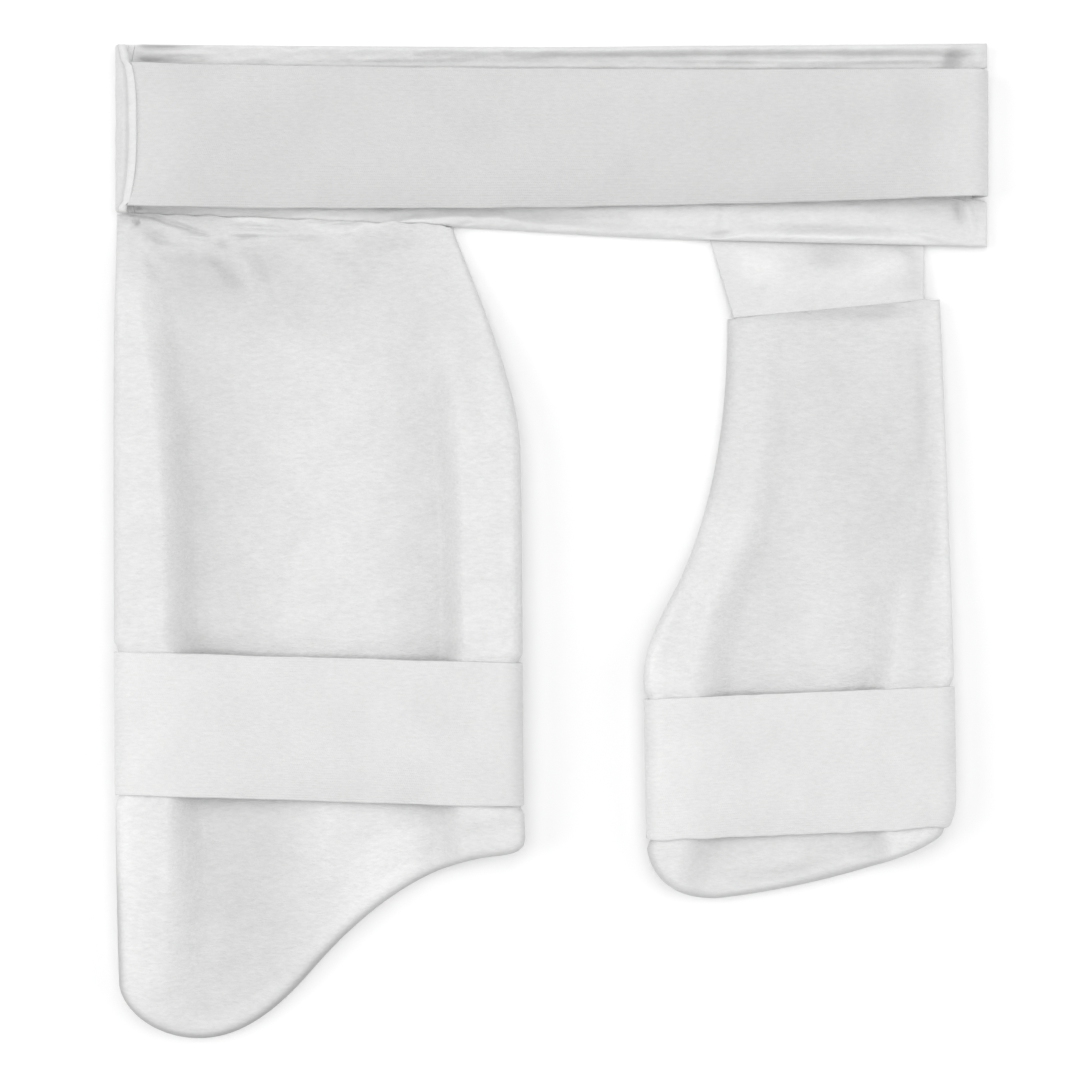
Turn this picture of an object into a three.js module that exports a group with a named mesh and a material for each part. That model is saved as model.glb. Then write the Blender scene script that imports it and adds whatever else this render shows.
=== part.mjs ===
// A cricket thigh guard for both thighs, laid on its outer faces with the wearer's side up. A cloth waist
// panel carries a long outer pad and, on a cloth tab, a shorter inner pad. Three wide elastic straps lie
// over them: one joins the two ends of the panel, and one closes the loop of each pad. Millimetres. +Z is
// up, +X runs along the waist and +Y points from the pads to the waist.

import * as THREE from "three";

const { clamp, lerp, smoothstep } = THREE.MathUtils;

// Clearances: between pieces that meet at a seam, between a taut strap and the pad that it wraps, and
// between the end of a strap and its hook tape
const seamGap = 0.3;
const strapGap = 0.55;
const tapeGap = 0.8;

// Waist panel: a soft cloth band whose left end turns up and back over itself
const panelLength = 436.5;
const panelLeftHeight = 85.3;
const panelRightHeight = 102.2;
const panelThickness = 3.4;
const panelTopSag = 1.4;
const panelLipFlat = 0.6;
const panelLipBow = 6.5;
const panelRaise = 4.8;
const panelSlope = 60;

// Shares of the panel's height that its rounded hems and the slope beside the strap's turn take
const panelRim = 0.025;
const panelEar = 0.05;

// Waist strap: sewn to the panel's lip, turned round the panel's right end and closed underneath
const waistStrapThickness = 1.8;
const waistStrapSewnWidth = 71.5;
const waistStrapTurnWidth = 63;
const waistStrapTopInset = 10.3;
const waistStrapTurnInset = 14.2;
const waistLoopDepth = 13;
const waistStrapSag = 2;
const waistTailLength = 42;
const waistTapeLength = 55;

// Outer pad
const outerPadWidth = 206.2;
const outerPadLength = 413;
const outerRecessThickness = 15;
const outerCrown = 4;
const outerWingRise = 12.5;
const outerEdgeLift = 12;
const outerRimRadius = 6.5;
const outerBevelWidth = 24;
const outerBevelDrop = 5;
const outerSeamThickness = 4.6;

// Outer thigh strap
const outerStrapWidth = 71.3;
const outerStrapThickness = 1.8;
const outerStrapDistance = 220.5;
const outerStrapFall = 6;
const outerTailLength = 26;
const outerTapeLength = 22;

// Inner pad
const innerPadWidth = 156.5;
const innerPadLength = 300;
const innerPadInset = 16.8;
const innerRecessThickness = 13;
const innerCrown = 3;
const innerWingRise = 9.5;
const innerEdgeLift = 10;
const innerRimRadius = 5.5;
const innerBevelWidth = 16;
const innerBevelDrop = 3;
const innerSeamThickness = 7;

// Inner thigh strap
const innerStrapWidth = 70.2;
const innerStrapThickness = 1.8;
const innerStrapDistance = 201.5;
const innerStrapFall = -6.4;
const innerTailLength = 18;
const innerTapeLength = 16;

// Tab: thin cloth that carries the inner pad
const tabTopWidth = 110.5;
const tabTopInset = 31;
const tabBottomWidth = 95;
const tabBottomShift = 1;
const tabLeftLength = 40.3;
const tabRightLength = 27.3;
const tabThickness = 1.4;
const tabTuck = 9;
const tabRipple = 1.6;

// Hook tape closes each strap and is a little narrower and thinner than the strap
const tapeThickness = 1.2;
const tapeMargin = 3;

// Steps across a thigh strap's width
const ribbonRows = 10;

// Share of a pad's half width that rests flat, and the power of the curve that lifts its outer face beyond
const flatShare = 0.3;
const liftPower = 1.5;

// A table of numbers: its column names, then its rows
const table = (columns, ...rows) =>
  rows.map((row) => Object.fromEntries(columns.map((name, k) => [name, row[k]])));

// How far the panel's lower hem falls along its length, as a share of the difference between its two
// heights
const hemFall = table(
  ["along", "fall"],
  [0, 0],
  [0.39, 0.4],
  [0.62, 0.73],
  [0.94, 0.95],
  [1, 1],
);

// Rolls and folds of the panel's upper face. Places are shares of its length and of its height, width is a
// share of its height, and rise is a share of the panel's greatest raise.
const panelFolds = table(
  ["x0", "y0", "x1", "y1", "width", "rise"],
  [0.42, 0.035, 0.97, 0.03, 0.045, 0.45],
  [0.04, 0.03, 0.45, 0.04, 0.04, 0.2],
  [0.35, 0.985, 0.66, 0.965, 0.06, 0.7],
  [0.66, 0.965, 0.99, 0.965, 0.045, 0.5],
  [0.66, 0.83, 0.95, 0.87, 0.03, 0.22],
  [0.955, 0.78, 0.985, 0.94, 0.035, 0.5],
  [0.93, 0.03, 0.975, 0.12, 0.04, 0.3],
);

// Sections across a pad. Along is a share of its length. The crests of the two wings and the valleys beside
// the recess are shares of its width. The wings, the crown and the body are shares of their full heights.
const sectionColumns = [
  ...["along", "leftCrest", "leftValley", "rightValley", "rightCrest"],
  ...["leftWing", "rightWing", "crown", "body"],
];
const outerSections = table(
  sectionColumns,
  [0, 0.05, 0.12, 0.72, 0.82, 0, 0, 0, 0],
  [0.06, 0.05, 0.13, 0.73, 0.82, 0.35, 0.02, 0.2, 0.45],
  [0.12, 0.06, 0.15, 0.74, 0.83, 0.7, 0.15, 0.5, 0.85],
  [0.24, 0.1, 0.175, 0.76, 0.84, 0.9, 0.75, 0.9, 1],
  [0.4, 0.115, 0.19, 0.79, 0.86, 1, 1, 1, 1],
  [0.78, 0.11, 0.2, 0.79, 0.87, 1, 0.9, 1, 1],
  [0.92, 0.09, 0.215, 0.8, 0.88, 0.7, 0.8, 0.6, 0.95],
  [1, 0.06, 0.22, 0.8, 0.88, 0.2, 0.8, 0.3, 0.8],
);
const innerSections = table(
  sectionColumns,
  [0, 0.38, 0.46, 0.83, 0.92, 0, 0, 0, 0.2],
  [0.08, 0.37, 0.46, 0.84, 0.91, 0.3, 0.25, 0.3, 0.75],
  [0.25, 0.36, 0.46, 0.85, 0.92, 0.7, 0.5, 0.8, 1],
  [0.4, 0.32, 0.42, 0.83, 0.91, 0.85, 0.75, 1, 1],
  [0.55, 0.19, 0.27, 0.78, 0.86, 1, 0.95, 1, 1],
  [0.85, 0.13, 0.22, 0.76, 0.86, 1, 1, 1, 1],
  [1, 0.1, 0.2, 0.76, 0.86, 0.5, 0.6, 0.4, 0.85],
);

// Gathers and dents of a pad's upper face. Places are shares of its width and length, width is a share of
// its length, and rise is a share of its wing rise, below zero for a dent. The outer pad's lie near the
// waist seam.
const outerGathers = table(
  ["x0", "y0", "x1", "y1", "width", "rise"],
  [0.6, 0.02, 0.8, 0.022, 0.014, 0.34],
  [0.27, 0.022, 0.56, 0.03, 0.01, 0.26],
  [0.02, 0.026, 0.12, 0.034, 0.012, 0.16],
  [0.07, 0.03, 0.14, 0.045, 0.01, -0.14],
  [0.27, 0.06, 0.31, 0.1, 0.013, -0.13],
  [0.34, 0.05, 0.37, 0.1, 0.012, -0.1],
);

// The inner pad has one dent along its lower edge
const innerGathers = table(
  ["x0", "y0", "x1", "y1", "width", "rise"],
  [0.32, 0.955, 0.72, 0.925, 0.014, -0.2],
);

// Smooth value of a table's column at a place, through a cubic between neighbouring rows
function columnAt(table, key, place, column) {
  const last = table.length - 1;
  const at = clamp(place, table[0][key], table[last][key]);
  let i = 0;
  while (i < last - 1 && at > table[i + 1][key]) i += 1;
  const slope = (k) => {
    const a = table[Math.max(k - 1, 0)];
    const b = table[Math.min(k + 1, last)];
    return (b[column] - a[column]) / (b[key] - a[key]);
  };
  const span = table[i + 1][key] - table[i][key];
  const t = (at - table[i][key]) / span;
  const easeIn = t * t * (3 - 2 * t);
  const leave = t * (1 - t) * (1 - t) * slope(i) * span;
  const arrive = t * t * (t - 1) * slope(i + 1) * span;
  return lerp(table[i][column], table[i + 1][column], easeIn) + leave + arrive;
}

// Height that a table of folds adds at a point: each fold is a ridge along a line that fades at its two
// ends
function foldHeight(folds, x, y, width, length) {
  let height = 0;
  for (const fold of folds) {
    const start = new THREE.Vector2(fold.x0 * width, fold.y0 * length);
    const run = new THREE.Vector2(fold.x1 * width, fold.y1 * length).sub(start);
    const offset = new THREE.Vector2(x, y).sub(start);
    const share = clamp(offset.dot(run) / run.lengthSq(), 0, 1);
    const away = offset.addScaledVector(run, -share).length();
    const fade = Math.sin(Math.PI * lerp(0.12, 0.88, share));
    height += fold.rise * fade * Math.exp(-((away / (fold.width * length)) ** 2));
  }
  return height;
}

// Shares from 0 to 1 in equal steps
const even = (steps) => Array.from({ length: steps + 1 }, (_, i) => i / steps);

// Shares from 0 to 1 that crowd towards both ends, so that rounded rims get fine faces
const crowded = (steps) => even(steps).map((share) => (1 - Math.cos(Math.PI * share)) / 2);

// Places that step evenly from each stop to the next
const through = (stops, steps) =>
  stops.flatMap((stop, k) =>
    k === 0 ? [stop] : even(steps[k - 1]).slice(1).map((share) => lerp(stops[k - 1], stop, share)),
  );

// Quarter-round profile of a rim: 0 at the edge and 1 from one radius inwards
function rimProfile(distance, radius) {
  const inwards = clamp(distance / radius, 0, 1);
  return Math.sqrt(1 - (1 - inwards) ** 2);
}

// A closed solid between two grids of points. Joined grids share their border; others get a wall along it.
function solidBetween(upper, lower, joined) {
  const rows = upper.length;
  const columns = upper[0].length;
  const positions = [];
  const add = (point) => positions.push(point.x, point.y, point.z) / 3 - 1;
  const onBorder = (i, j) => i === 0 || j === 0 || i === rows - 1 || j === columns - 1;
  const top = upper.map((row) => row.map(add));
  const shared = (i, j) => joined && onBorder(i, j);
  const bottom = lower.map((row, i) => row.map((point, j) => (shared(i, j) ? top[i][j] : add(point))));
  const faces = [];
  for (let i = 0; i < rows - 1; i += 1) {
    for (let j = 0; j < columns - 1; j += 1) {
      // The diagonal starts at the grid's nearest corner, so that no triangle lies wholly on the border
      const rising = i < rows / 2 === j < columns / 2;
      const corners = [[i, j], [i + 1, j], [i + 1, j + 1], [i, j + 1]];
      const [a, b, c, d] = rising ? corners : [...corners.slice(1), corners[0]];
      for (const [p, q, r] of [[a, b, c], [a, c, d]]) {
        faces.push(top[p[0]][p[1]], top[q[0]][q[1]], top[r[0]][r[1]]);
        faces.push(bottom[p[0]][p[1]], bottom[r[0]][r[1]], bottom[q[0]][q[1]]);
      }
    }
  }
  if (!joined) {
    const loop = [];
    for (let i = 0; i < rows; i += 1) loop.push([i, 0]);
    for (let j = 1; j < columns; j += 1) loop.push([rows - 1, j]);
    for (let i = rows - 2; i >= 0; i -= 1) loop.push([i, columns - 1]);
    for (let j = columns - 2; j > 0; j -= 1) loop.push([0, j]);
    loop.forEach(([i, j], k) => {
      const [m, n] = loop[(k + 1) % loop.length];
      faces.push(top[i][j], bottom[i][j], bottom[m][n]);
      faces.push(top[i][j], bottom[m][n], top[m][n]);
    });
  }
  return facingOut(positions, faces);
}

// Geometry of a closed mesh, with its faces turned round if they enclose a negative volume
function facingOut(positions, faces) {
  const corner = (k) => new THREE.Vector3().fromArray(positions, faces[k] * 3);
  let volume = 0;
  for (let k = 0; k < faces.length; k += 3) volume += corner(k).dot(corner(k + 1).cross(corner(k + 2)));
  const geometry = new THREE.BufferGeometry();
  geometry.setAttribute("position", new THREE.Float32BufferAttribute(positions, 3));
  geometry.setIndex(volume < 0 ? faces.reverse() : faces);
  geometry.computeVertexNormals();
  return geometry;
}

// Soft white finishes
const coverCloth = new THREE.MeshStandardMaterial({ color: 0xe4e4e4, roughness: 0.95, metalness: 0 });
const panelCloth = new THREE.MeshStandardMaterial({ color: 0xe0e0e0, roughness: 0.85, metalness: 0 });
const elastic = new THREE.MeshStandardMaterial({ color: 0xe2e2e2, roughness: 0.9, metalness: 0 });
const hookTape = new THREE.MeshStandardMaterial({ color: 0xdcdcdc, roughness: 0.6, metalness: 0 });

const guard = new THREE.Group();

function addPiece(name, geometry, material) {
  const mesh = new THREE.Mesh(geometry, material);
  mesh.name = name;
  guard.add(mesh);
}

// Lines of the waist, from which the panel, the straps, the pads and the tab are placed
const hemShare = (x) => columnAt(hemFall, "along", x / panelLength, "fall");
const hemY = (x) => -lerp(panelLeftHeight, panelRightHeight, hemShare(x));
const runShare = (x) => clamp(x / panelLength, 0, 1);
const topY = (x) => -panelTopSag * Math.sin(Math.PI * runShare(x));
const waistStrapTop = (x) => -lerp(waistStrapTopInset, waistStrapTurnInset, Math.sqrt(runShare(x)));
const waistStrapWidth = (x) => lerp(waistStrapSewnWidth, waistStrapTurnWidth, runShare(x) ** 2);

// Levels of the waist: the tail lies on the ground, the panel over the tail and the strap a loop's depth
// above
const panelLift = waistStrapThickness + seamGap;
const panelMiddle = panelThickness / 2;
const strapLevel = panelThickness + waistLoopDepth + waistStrapThickness / 2;
const lipRadius = (strapLevel - panelMiddle) / 2;
const lipX = lipRadius + panelMiddle;
const lipReach = lipX + panelLipFlat;
const lipLength = panelLipFlat + Math.PI * lipRadius;
const turnRadius = (strapLevel - waistStrapThickness / 2) / 2;
const turnCentreX = panelLength - turnRadius - waistStrapThickness / 2;

// The panel's right part rises over the strap's tail, its hook tape and the tab
function panelLevel(x) {
  const tabFrom = panelLength - tabTopInset - tabTopWidth;
  const tapeFrom = turnCentreX - waistTailLength - seamGap - waistTapeLength;
  const liftedFrom = Math.min(tabFrom, tapeFrom) - panelThickness;
  return panelMiddle + panelLift * smoothstep(x, liftedFrom - panelSlope, liftedFrom);
}

// Middle line of the panel at a distance along the cloth: lip, turn, then the run along the ground
function panelLine(distance) {
  if (distance < panelLipFlat) {
    return { x: lipReach - distance, z: strapLevel, facing: new THREE.Vector3(0, 0, -1), runs: false };
  }
  if (distance < lipLength) {
    const angle = (distance - panelLipFlat) / lipRadius;
    const facing = new THREE.Vector3(Math.sin(angle), 0, -Math.cos(angle));
    const z = strapLevel - lipRadius * (1 - Math.cos(angle));
    return { x: lipX - lipRadius * Math.sin(angle), z, facing, runs: false };
  }
  const x = lipX + distance - lipLength;
  return { x, z: panelLevel(x), facing: new THREE.Vector3(0, 0, 1), runs: true };
}

function waistPanel() {
  const halfThickness = panelThickness / 2;
  const fullLength = lipLength - lipX + panelLength;
  // Between the ears the strap's turn pulls the panel's end in, to where its lower corner clears the strap's
  // curve
  const pulledIn = panelLength - turnCentreX - halfThickness;
  const turnHeight = topY(turnCentreX) - hemY(turnCentreX);
  const strapFrom = (topY(turnCentreX) - waistStrapTop(turnCentreX) - seamGap) / turnHeight;
  const strapTo = strapFrom + (waistStrapWidth(turnCentreX) + 2 * seamGap) / turnHeight;
  const endFrom = 1 - (pulledIn + 2 * halfThickness) / fullLength;
  const along = through([0, lipLength / fullLength, endFrom, 1], [14, 26, 6]);
  const stops = [0, panelRim, strapFrom - panelEar, strapFrom, strapTo, strapTo + panelEar, 1 - panelRim, 1];
  const across = through(stops, [2, 1, 1, 6, 1, 1, 2]);
  const grid = (side) =>
    along.map((share) =>
      across.map((down) => {
        const bow = panelLipBow * Math.abs(2 * down - 1) ** 5;
        const belowTop = smoothstep(down, strapFrom - panelEar, strapFrom);
        const inStrap = belowTop * (1 - smoothstep(down, strapTo, strapTo + panelEar));
        const end = fullLength - pulledIn * inStrap;
        const line = panelLine(lerp(bow, end, share));
        const top = topY(line.x);
        const hem = hemY(line.x);
        const height = top - hem;
        const fromEnds = (end - bow) * Math.min(share, 1 - share);
        const edge = Math.min(height * Math.min(down, 1 - down), fromEnds);
        const rim = rimProfile(edge, halfThickness);
        const folded = side > 0 && line.runs;
        const rise = foldHeight(panelFolds, line.x, down * height, panelLength, height) * panelRaise;
        const offset = (side * halfThickness + (folded ? rise : 0)) * rim;
        return new THREE.Vector3(line.x, lerp(top, hem, down), line.z).addScaledVector(line.facing, offset);
      }),
    );
  return solidBetween(grid(1), grid(-1), true);
}

// Middle line of the waist strap from the lip to the end of the tail, with the direction that faces the
// panel
const waistStrapStart = lipReach + seamGap;
const waistRun = turnCentreX - waistStrapStart;
const waistTailStart = waistRun + Math.PI * turnRadius;
function waistStrapLine(distance) {
  if (distance < waistRun) {
    const sag = waistStrapSag * Math.sin((Math.PI * distance) / waistRun) ** 2;
    return { x: waistStrapStart + distance, z: strapLevel - sag, facing: new THREE.Vector3(0, 0, -1) };
  }
  if (distance < waistTailStart) {
    const angle = (distance - waistRun) / turnRadius;
    const facing = new THREE.Vector3(-Math.sin(angle), 0, -Math.cos(angle));
    const z = strapLevel - turnRadius * (1 - Math.cos(angle));
    return { x: turnCentreX + turnRadius * Math.sin(angle), z, facing };
  }
  const x = turnCentreX - (distance - waistTailStart);
  return { x, z: waistStrapThickness / 2, facing: new THREE.Vector3(0, 0, 1) };
}

function waistRibbon(distances, thickness, margin, level) {
  const across = even(3);
  const grid = (side) =>
    distances.map((distance) =>
      across.map((down) => {
        const line = waistStrapLine(distance);
        const top = waistStrapTop(line.x) - margin;
        const width = waistStrapWidth(line.x) - 2 * margin;
        const middle = new THREE.Vector3(line.x, top - width * down, line.z + level);
        return middle.addScaledVector(line.facing, (side * thickness) / 2);
      }),
    );
  return solidBetween(grid(1), grid(-1), false);
}

function waistStrap() {
  const run = even(14).map((share) => share * waistRun);
  const turn = even(8).slice(1).map((share) => waistRun + share * Math.PI * turnRadius);
  const tail = even(2).slice(1).map((share) => waistTailStart + share * waistTailLength);
  return waistRibbon([...run, ...turn, ...tail], waistStrapThickness, 0, 0);
}

function waistHookTape() {
  const from = waistTailStart + waistTailLength + seamGap;
  const level = (tapeThickness - waistStrapThickness) / 2;
  const tape = even(3).map((share) => from + share * waistTapeLength);
  return waistRibbon(tape, tapeThickness, tapeMargin, level);
}

// A pad's outline is four sides of Bezier curves in shares of its width and length, measured down from its
// top left corner: [start, then control, control, end for each curve].
function sideCurve(pad, points) {
  const place = ([x, y]) => new THREE.Vector2(x * pad.width, y * pad.length);
  const side = new THREE.CurvePath();
  for (let k = 0; k + 3 < points.length; k += 3) {
    side.add(new THREE.CubicBezierCurve(...points.slice(k, k + 4).map(place)));
  }
  return side;
}

const outerPad = {
  width: outerPadWidth,
  length: outerPadLength,
  left: 0,
  top: -panelLeftHeight - seamGap,
  sections: outerSections,
  gathers: outerGathers,
  recess: outerRecessThickness,
  crown: outerCrown,
  wingRise: outerWingRise,
  edgeLift: outerEdgeLift,
  rimRadius: outerRimRadius,
  bevelWidth: outerBevelWidth,
  bevelDrop: outerBevelDrop,
  seam: outerSeamThickness,
};
outerPad.leftSide = sideCurve(outerPad, [[0, 0], [0, 0.31], [0, 0.66], [0.012, 0.933]]);
outerPad.lowerSide = sideCurve(outerPad, [
  [0.012, 0.933], [0.02, 0.966], [0.1, 1], [0.205, 1],
  [0.314, 1], [0.404, 0.958], [0.472, 0.919],
  [0.557, 0.87], [0.72, 0.786], [0.933, 0.777],
  [0.977, 0.774], [0.994, 0.769], [0.994, 0.755],
]);
outerPad.rightSide = sideCurve(outerPad, [
  [0.8145, 0.016], [0.88, 0.1], [0.977, 0.209], [0.982, 0.2875],
  [0.989, 0.421], [0.986, 0.681], [0.994, 0.755],
]);

const innerPad = {
  width: innerPadWidth,
  length: innerPadLength,
  left: panelLength - innerPadInset - innerPadWidth,
  sections: innerSections,
  gathers: innerGathers,
  recess: innerRecessThickness,
  crown: innerCrown,
  wingRise: innerWingRise,
  edgeLift: innerEdgeLift,
  rimRadius: innerRimRadius,
  bevelWidth: innerBevelWidth,
  bevelDrop: innerBevelDrop,
  seam: innerSeamThickness,
};
innerPad.leftSide = sideCurve(innerPad, [
  [0.275, 0.033], [0.275, 0.203], [0.227, 0.37], [0.086, 0.503],
  [0.035, 0.552], [0.002, 0.59], [0.004, 0.64],
  [0.008, 0.7], [0.012, 0.837], [0.013, 0.903],
]);
innerPad.lowerSide = sideCurve(innerPad, [
  [0.013, 0.903], [0.019, 0.962], [0.099, 1], [0.236, 1],
  [0.412, 0.992], [0.78, 0.952], [0.923, 0.905],
  [0.968, 0.89], [0.997, 0.873], [1, 0.842],
]);
innerPad.rightSide = sideCurve(innerPad, [[0.955, 0], [0.965, 0.203], [0.997, 0.57], [1, 0.842]]);
innerPad.top = hemY(panelLength - tabTopInset) - tabRightLength;

// The outer pad's top side follows the panel's hem, and the inner pad's runs straight between its corners
outerPad.topSide = (share) => {
  const x = share * outerPad.rightSide.getPoint(0).x;
  return new THREE.Vector2(x, outerPad.top + seamGap - hemY(x));
};
innerPad.topSide = (share) => {
  const end = innerPad.rightSide.getPoint(0);
  return innerPad.leftSide.getPoint(0).lerp(end, share);
};

// Closed chain of points round a pad, from which distances to its rim are measured
function outlineOf(pad) {
  const top = even(24).map((share) => pad.topSide(share));
  const right = pad.rightSide.getSpacedPoints(60);
  const lower = pad.lowerSide.getSpacedPoints(80).reverse();
  const left = pad.leftSide.getSpacedPoints(60).reverse();
  return [...top, ...right, ...lower, ...left];
}
outerPad.outline = outlineOf(outerPad);
innerPad.outline = outlineOf(innerPad);

function rimDistance(pad, x, y) {
  let nearest = Infinity;
  pad.outline.forEach((start, k) => {
    const end = pad.outline[(k + 1) % pad.outline.length];
    const runX = end.x - start.x;
    const runY = end.y - start.y;
    const square = runX * runX + runY * runY;
    const share = square > 0 ? clamp(((x - start.x) * runX + (y - start.y) * runY) / square, 0, 1) : 0;
    nearest = Math.min(nearest, Math.hypot(x - start.x - share * runX, y - start.y - share * runY));
  });
  return nearest;
}

// Heights of a pad's wearer's face and outer face at a point measured down from its top left corner
function padHeights(pad, x, y) {
  const along = y / pad.length;
  const across = x / pad.width;
  const value = (column) => columnAt(pad.sections, "along", along, column);
  const leftWing = value("leftWing") * (1 - smoothstep(across, value("leftCrest"), value("leftValley")));
  const rightWing = value("rightWing") * smoothstep(across, value("rightValley"), value("rightCrest"));
  const wing = leftWing + rightWing;
  const middle = (value("leftValley") + value("rightValley")) / 2;
  const half = (value("rightValley") - value("leftValley")) / 2;
  const crown = value("crown") * Math.max(0, 1 - ((across - middle) / half) ** 2);
  const distance = rimDistance(pad, x, y);
  const bevel = pad.bevelDrop * (1 - clamp(wing, 0, 1)) * (1 - smoothstep(distance, 0, pad.bevelWidth));
  const fold = foldHeight(pad.gathers, x, y, pad.width, pad.length) * pad.wingRise;
  const body = clamp(value("body"), 0, 1);
  const full = pad.recess + pad.crown * crown + pad.wingRise * wing - bevel;
  const lifted = clamp((Math.abs(2 * across - 1) - flatShare) / (1 - flatShare), 0, 1);
  const outer = pad.edgeLift * body * lifted ** liftPower;
  const inner = lerp(pad.seam, full, body) + fold;
  const rim = rimProfile(distance, Math.min(pad.rimRadius, (inner - outer) / 2));
  const centre = (inner + outer) / 2;
  return { inner: lerp(centre, inner, rim), outer: lerp(centre, outer, rim) };
}

// A pad's grid blends its four sides, so that its lines follow the outline
function padSolid(pad, acrossSteps, alongSteps) {
  const corner = {
    a: pad.topSide(0),
    b: pad.topSide(1),
    c: pad.lowerSide.getPoint(1),
    d: pad.lowerSide.getPoint(0),
  };
  const places = crowded(alongSteps).map((v) =>
    crowded(acrossSteps).map((u) => {
      const left = pad.leftSide.getPointAt(v);
      const right = pad.rightSide.getPointAt(v);
      const upper = pad.topSide(u);
      const lower = pad.lowerSide.getPointAt(u);
      const blend = (axis) => {
        const sides = lerp(upper[axis], lower[axis], v) + lerp(left[axis], right[axis], u);
        const top = lerp(corner.a[axis], corner.b[axis], u);
        return sides - lerp(top, lerp(corner.d[axis], corner.c[axis], u), v);
      };
      return new THREE.Vector2(blend("x"), blend("y"));
    }),
  );
  const grid = (face) =>
    places.map((row) =>
      row.map(({ x, y }) => new THREE.Vector3(pad.left + x, pad.top - y, padHeights(pad, x, y)[face])),
    );
  return solidBetween(grid("inner"), grid("outer"), true);
}

// Where a slightly tilted line across a pad enters and leaves its outline
function sectionEnds(pad, startY, fall) {
  const below = ({ x, y }) => y - startY - (fall * x) / pad.width;
  const crossings = [];
  pad.outline.forEach((start, k) => {
    const end = pad.outline[(k + 1) % pad.outline.length];
    if (below(start) < 0 === below(end) < 0) return;
    crossings.push(lerp(start.x, end.x, below(start) / (below(start) - below(end))));
  });
  return [Math.min(...crossings), Math.max(...crossings)];
}

// Points round a pad's section along that line, in the plane of X and Z
function padSection(pad, startY, fall) {
  const [left, right] = sectionEnds(pad, startY, fall);
  const points = [];
  for (const share of crowded(110)) {
    const x = lerp(left, right, share);
    const heights = padHeights(pad, x, startY + (fall * x) / pad.width);
    points.push(new THREE.Vector2(x, heights.inner), new THREE.Vector2(x, heights.outer));
  }
  return points;
}

// The point of a section that reaches furthest in the direction of an angle, in degrees from +X towards +Z.
// Such points trace the convex hull, which a taut strap follows.
function hullPoint(section, degrees) {
  const angle = THREE.MathUtils.degToRad(degrees);
  const away = new THREE.Vector2(Math.cos(angle), Math.sin(angle));
  const point = section.reduce((best, next) => (next.dot(away) > best.dot(away) ? next : best));
  return { point, away };
}

// Points of the hull under a pad, at evenly spaced reaches in from the rim that a strap turns round
function hullUnder(section, strap, steps, from, to) {
  const angles = even(120).map((share) => lerp(turnedAngle, tailAngle, share));
  const stretch = angles.map((angle) => hullPoint(section, turned(strap, angle)));
  const ends = section.map((point) => point.x);
  const rim = strap.sewnLeft ? Math.max(...ends) : Math.min(...ends);
  const reach = ({ point }) => Math.abs(point.x - rim);
  const start = Math.max(from, reach(stretch[0]));
  return even(steps).map((share) => {
    const place = lerp(start, to, share);
    const next = clamp(stretch.findIndex((tip) => reach(tip) >= place), 1, stretch.length - 1);
    const [before, after] = [stretch[next - 1], stretch[next]];
    const gap = reach(after) - reach(before);
    const part = gap > 0 ? clamp((place - reach(before)) / gap, 0, 1) : 0;
    const point = before.point.clone().lerp(after.point, part);
    return { point, away: before.away.clone().lerp(after.away, part) };
  });
}

// A strap is sewn at the left, crosses both wings and turns round the right rim. One that is sewn at the
// right has the mirror images of these angles.
const turnedAngle = -55;
const wrapAngles = [140, 124, 110, 98, 82, 70, 56, 42, 28, 14, 0, -14, -28, -42, turnedAngle];
const tailAngle = -89;
const turned = (strap, angle) => (strap.sewnLeft ? angle : 180 - angle);

// Closed solid of a strap or tape from its lines, one for each place across its width
function ribbonSolid(pad, strap, thickness, margin, lineOf) {
  const rows = even(ribbonRows).map((down) => {
    const startY = strap.distance + margin + (strap.width - 2 * margin) * down;
    return { startY, line: lineOf(padSection(pad, startY, strap.fall)) };
  });
  const grid = (offset) =>
    rows.map(({ startY, line }) =>
      line.map(({ point, away }) => {
        const y = startY + (strap.fall * point.x) / pad.width;
        const shifted = point.clone().addScaledVector(away, offset);
        return new THREE.Vector3(pad.left + shifted.x, pad.top - y, shifted.y);
      }),
    );
  return solidBetween(grid(strapGap + thickness), grid(strapGap), false);
}

function thighStrap(pad, strap) {
  return ribbonSolid(pad, strap, strap.thickness, 0, (section) => {
    const wrap = wrapAngles.map((angle) => hullPoint(section, turned(strap, angle)));
    return [...wrap, ...hullUnder(section, strap, 3, 0, strap.tail).slice(1)];
  });
}

function thighHookTape(pad, strap) {
  const start = strap.tail + tapeGap;
  const lineOf = (section) => hullUnder(section, strap, 4, start, start + strap.tape);
  return ribbonSolid(pad, strap, tapeThickness, tapeMargin, lineOf);
}

const outerStrap = {
  width: outerStrapWidth,
  thickness: outerStrapThickness,
  distance: outerStrapDistance,
  fall: outerStrapFall,
  tail: outerTailLength,
  tape: outerTapeLength,
  sewnLeft: true,
};
const innerStrap = {
  width: innerStrapWidth,
  thickness: innerStrapThickness,
  distance: innerStrapDistance,
  fall: innerStrapFall,
  tail: innerTailLength,
  tape: innerTapeLength,
  sewnLeft: false,
};

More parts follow.
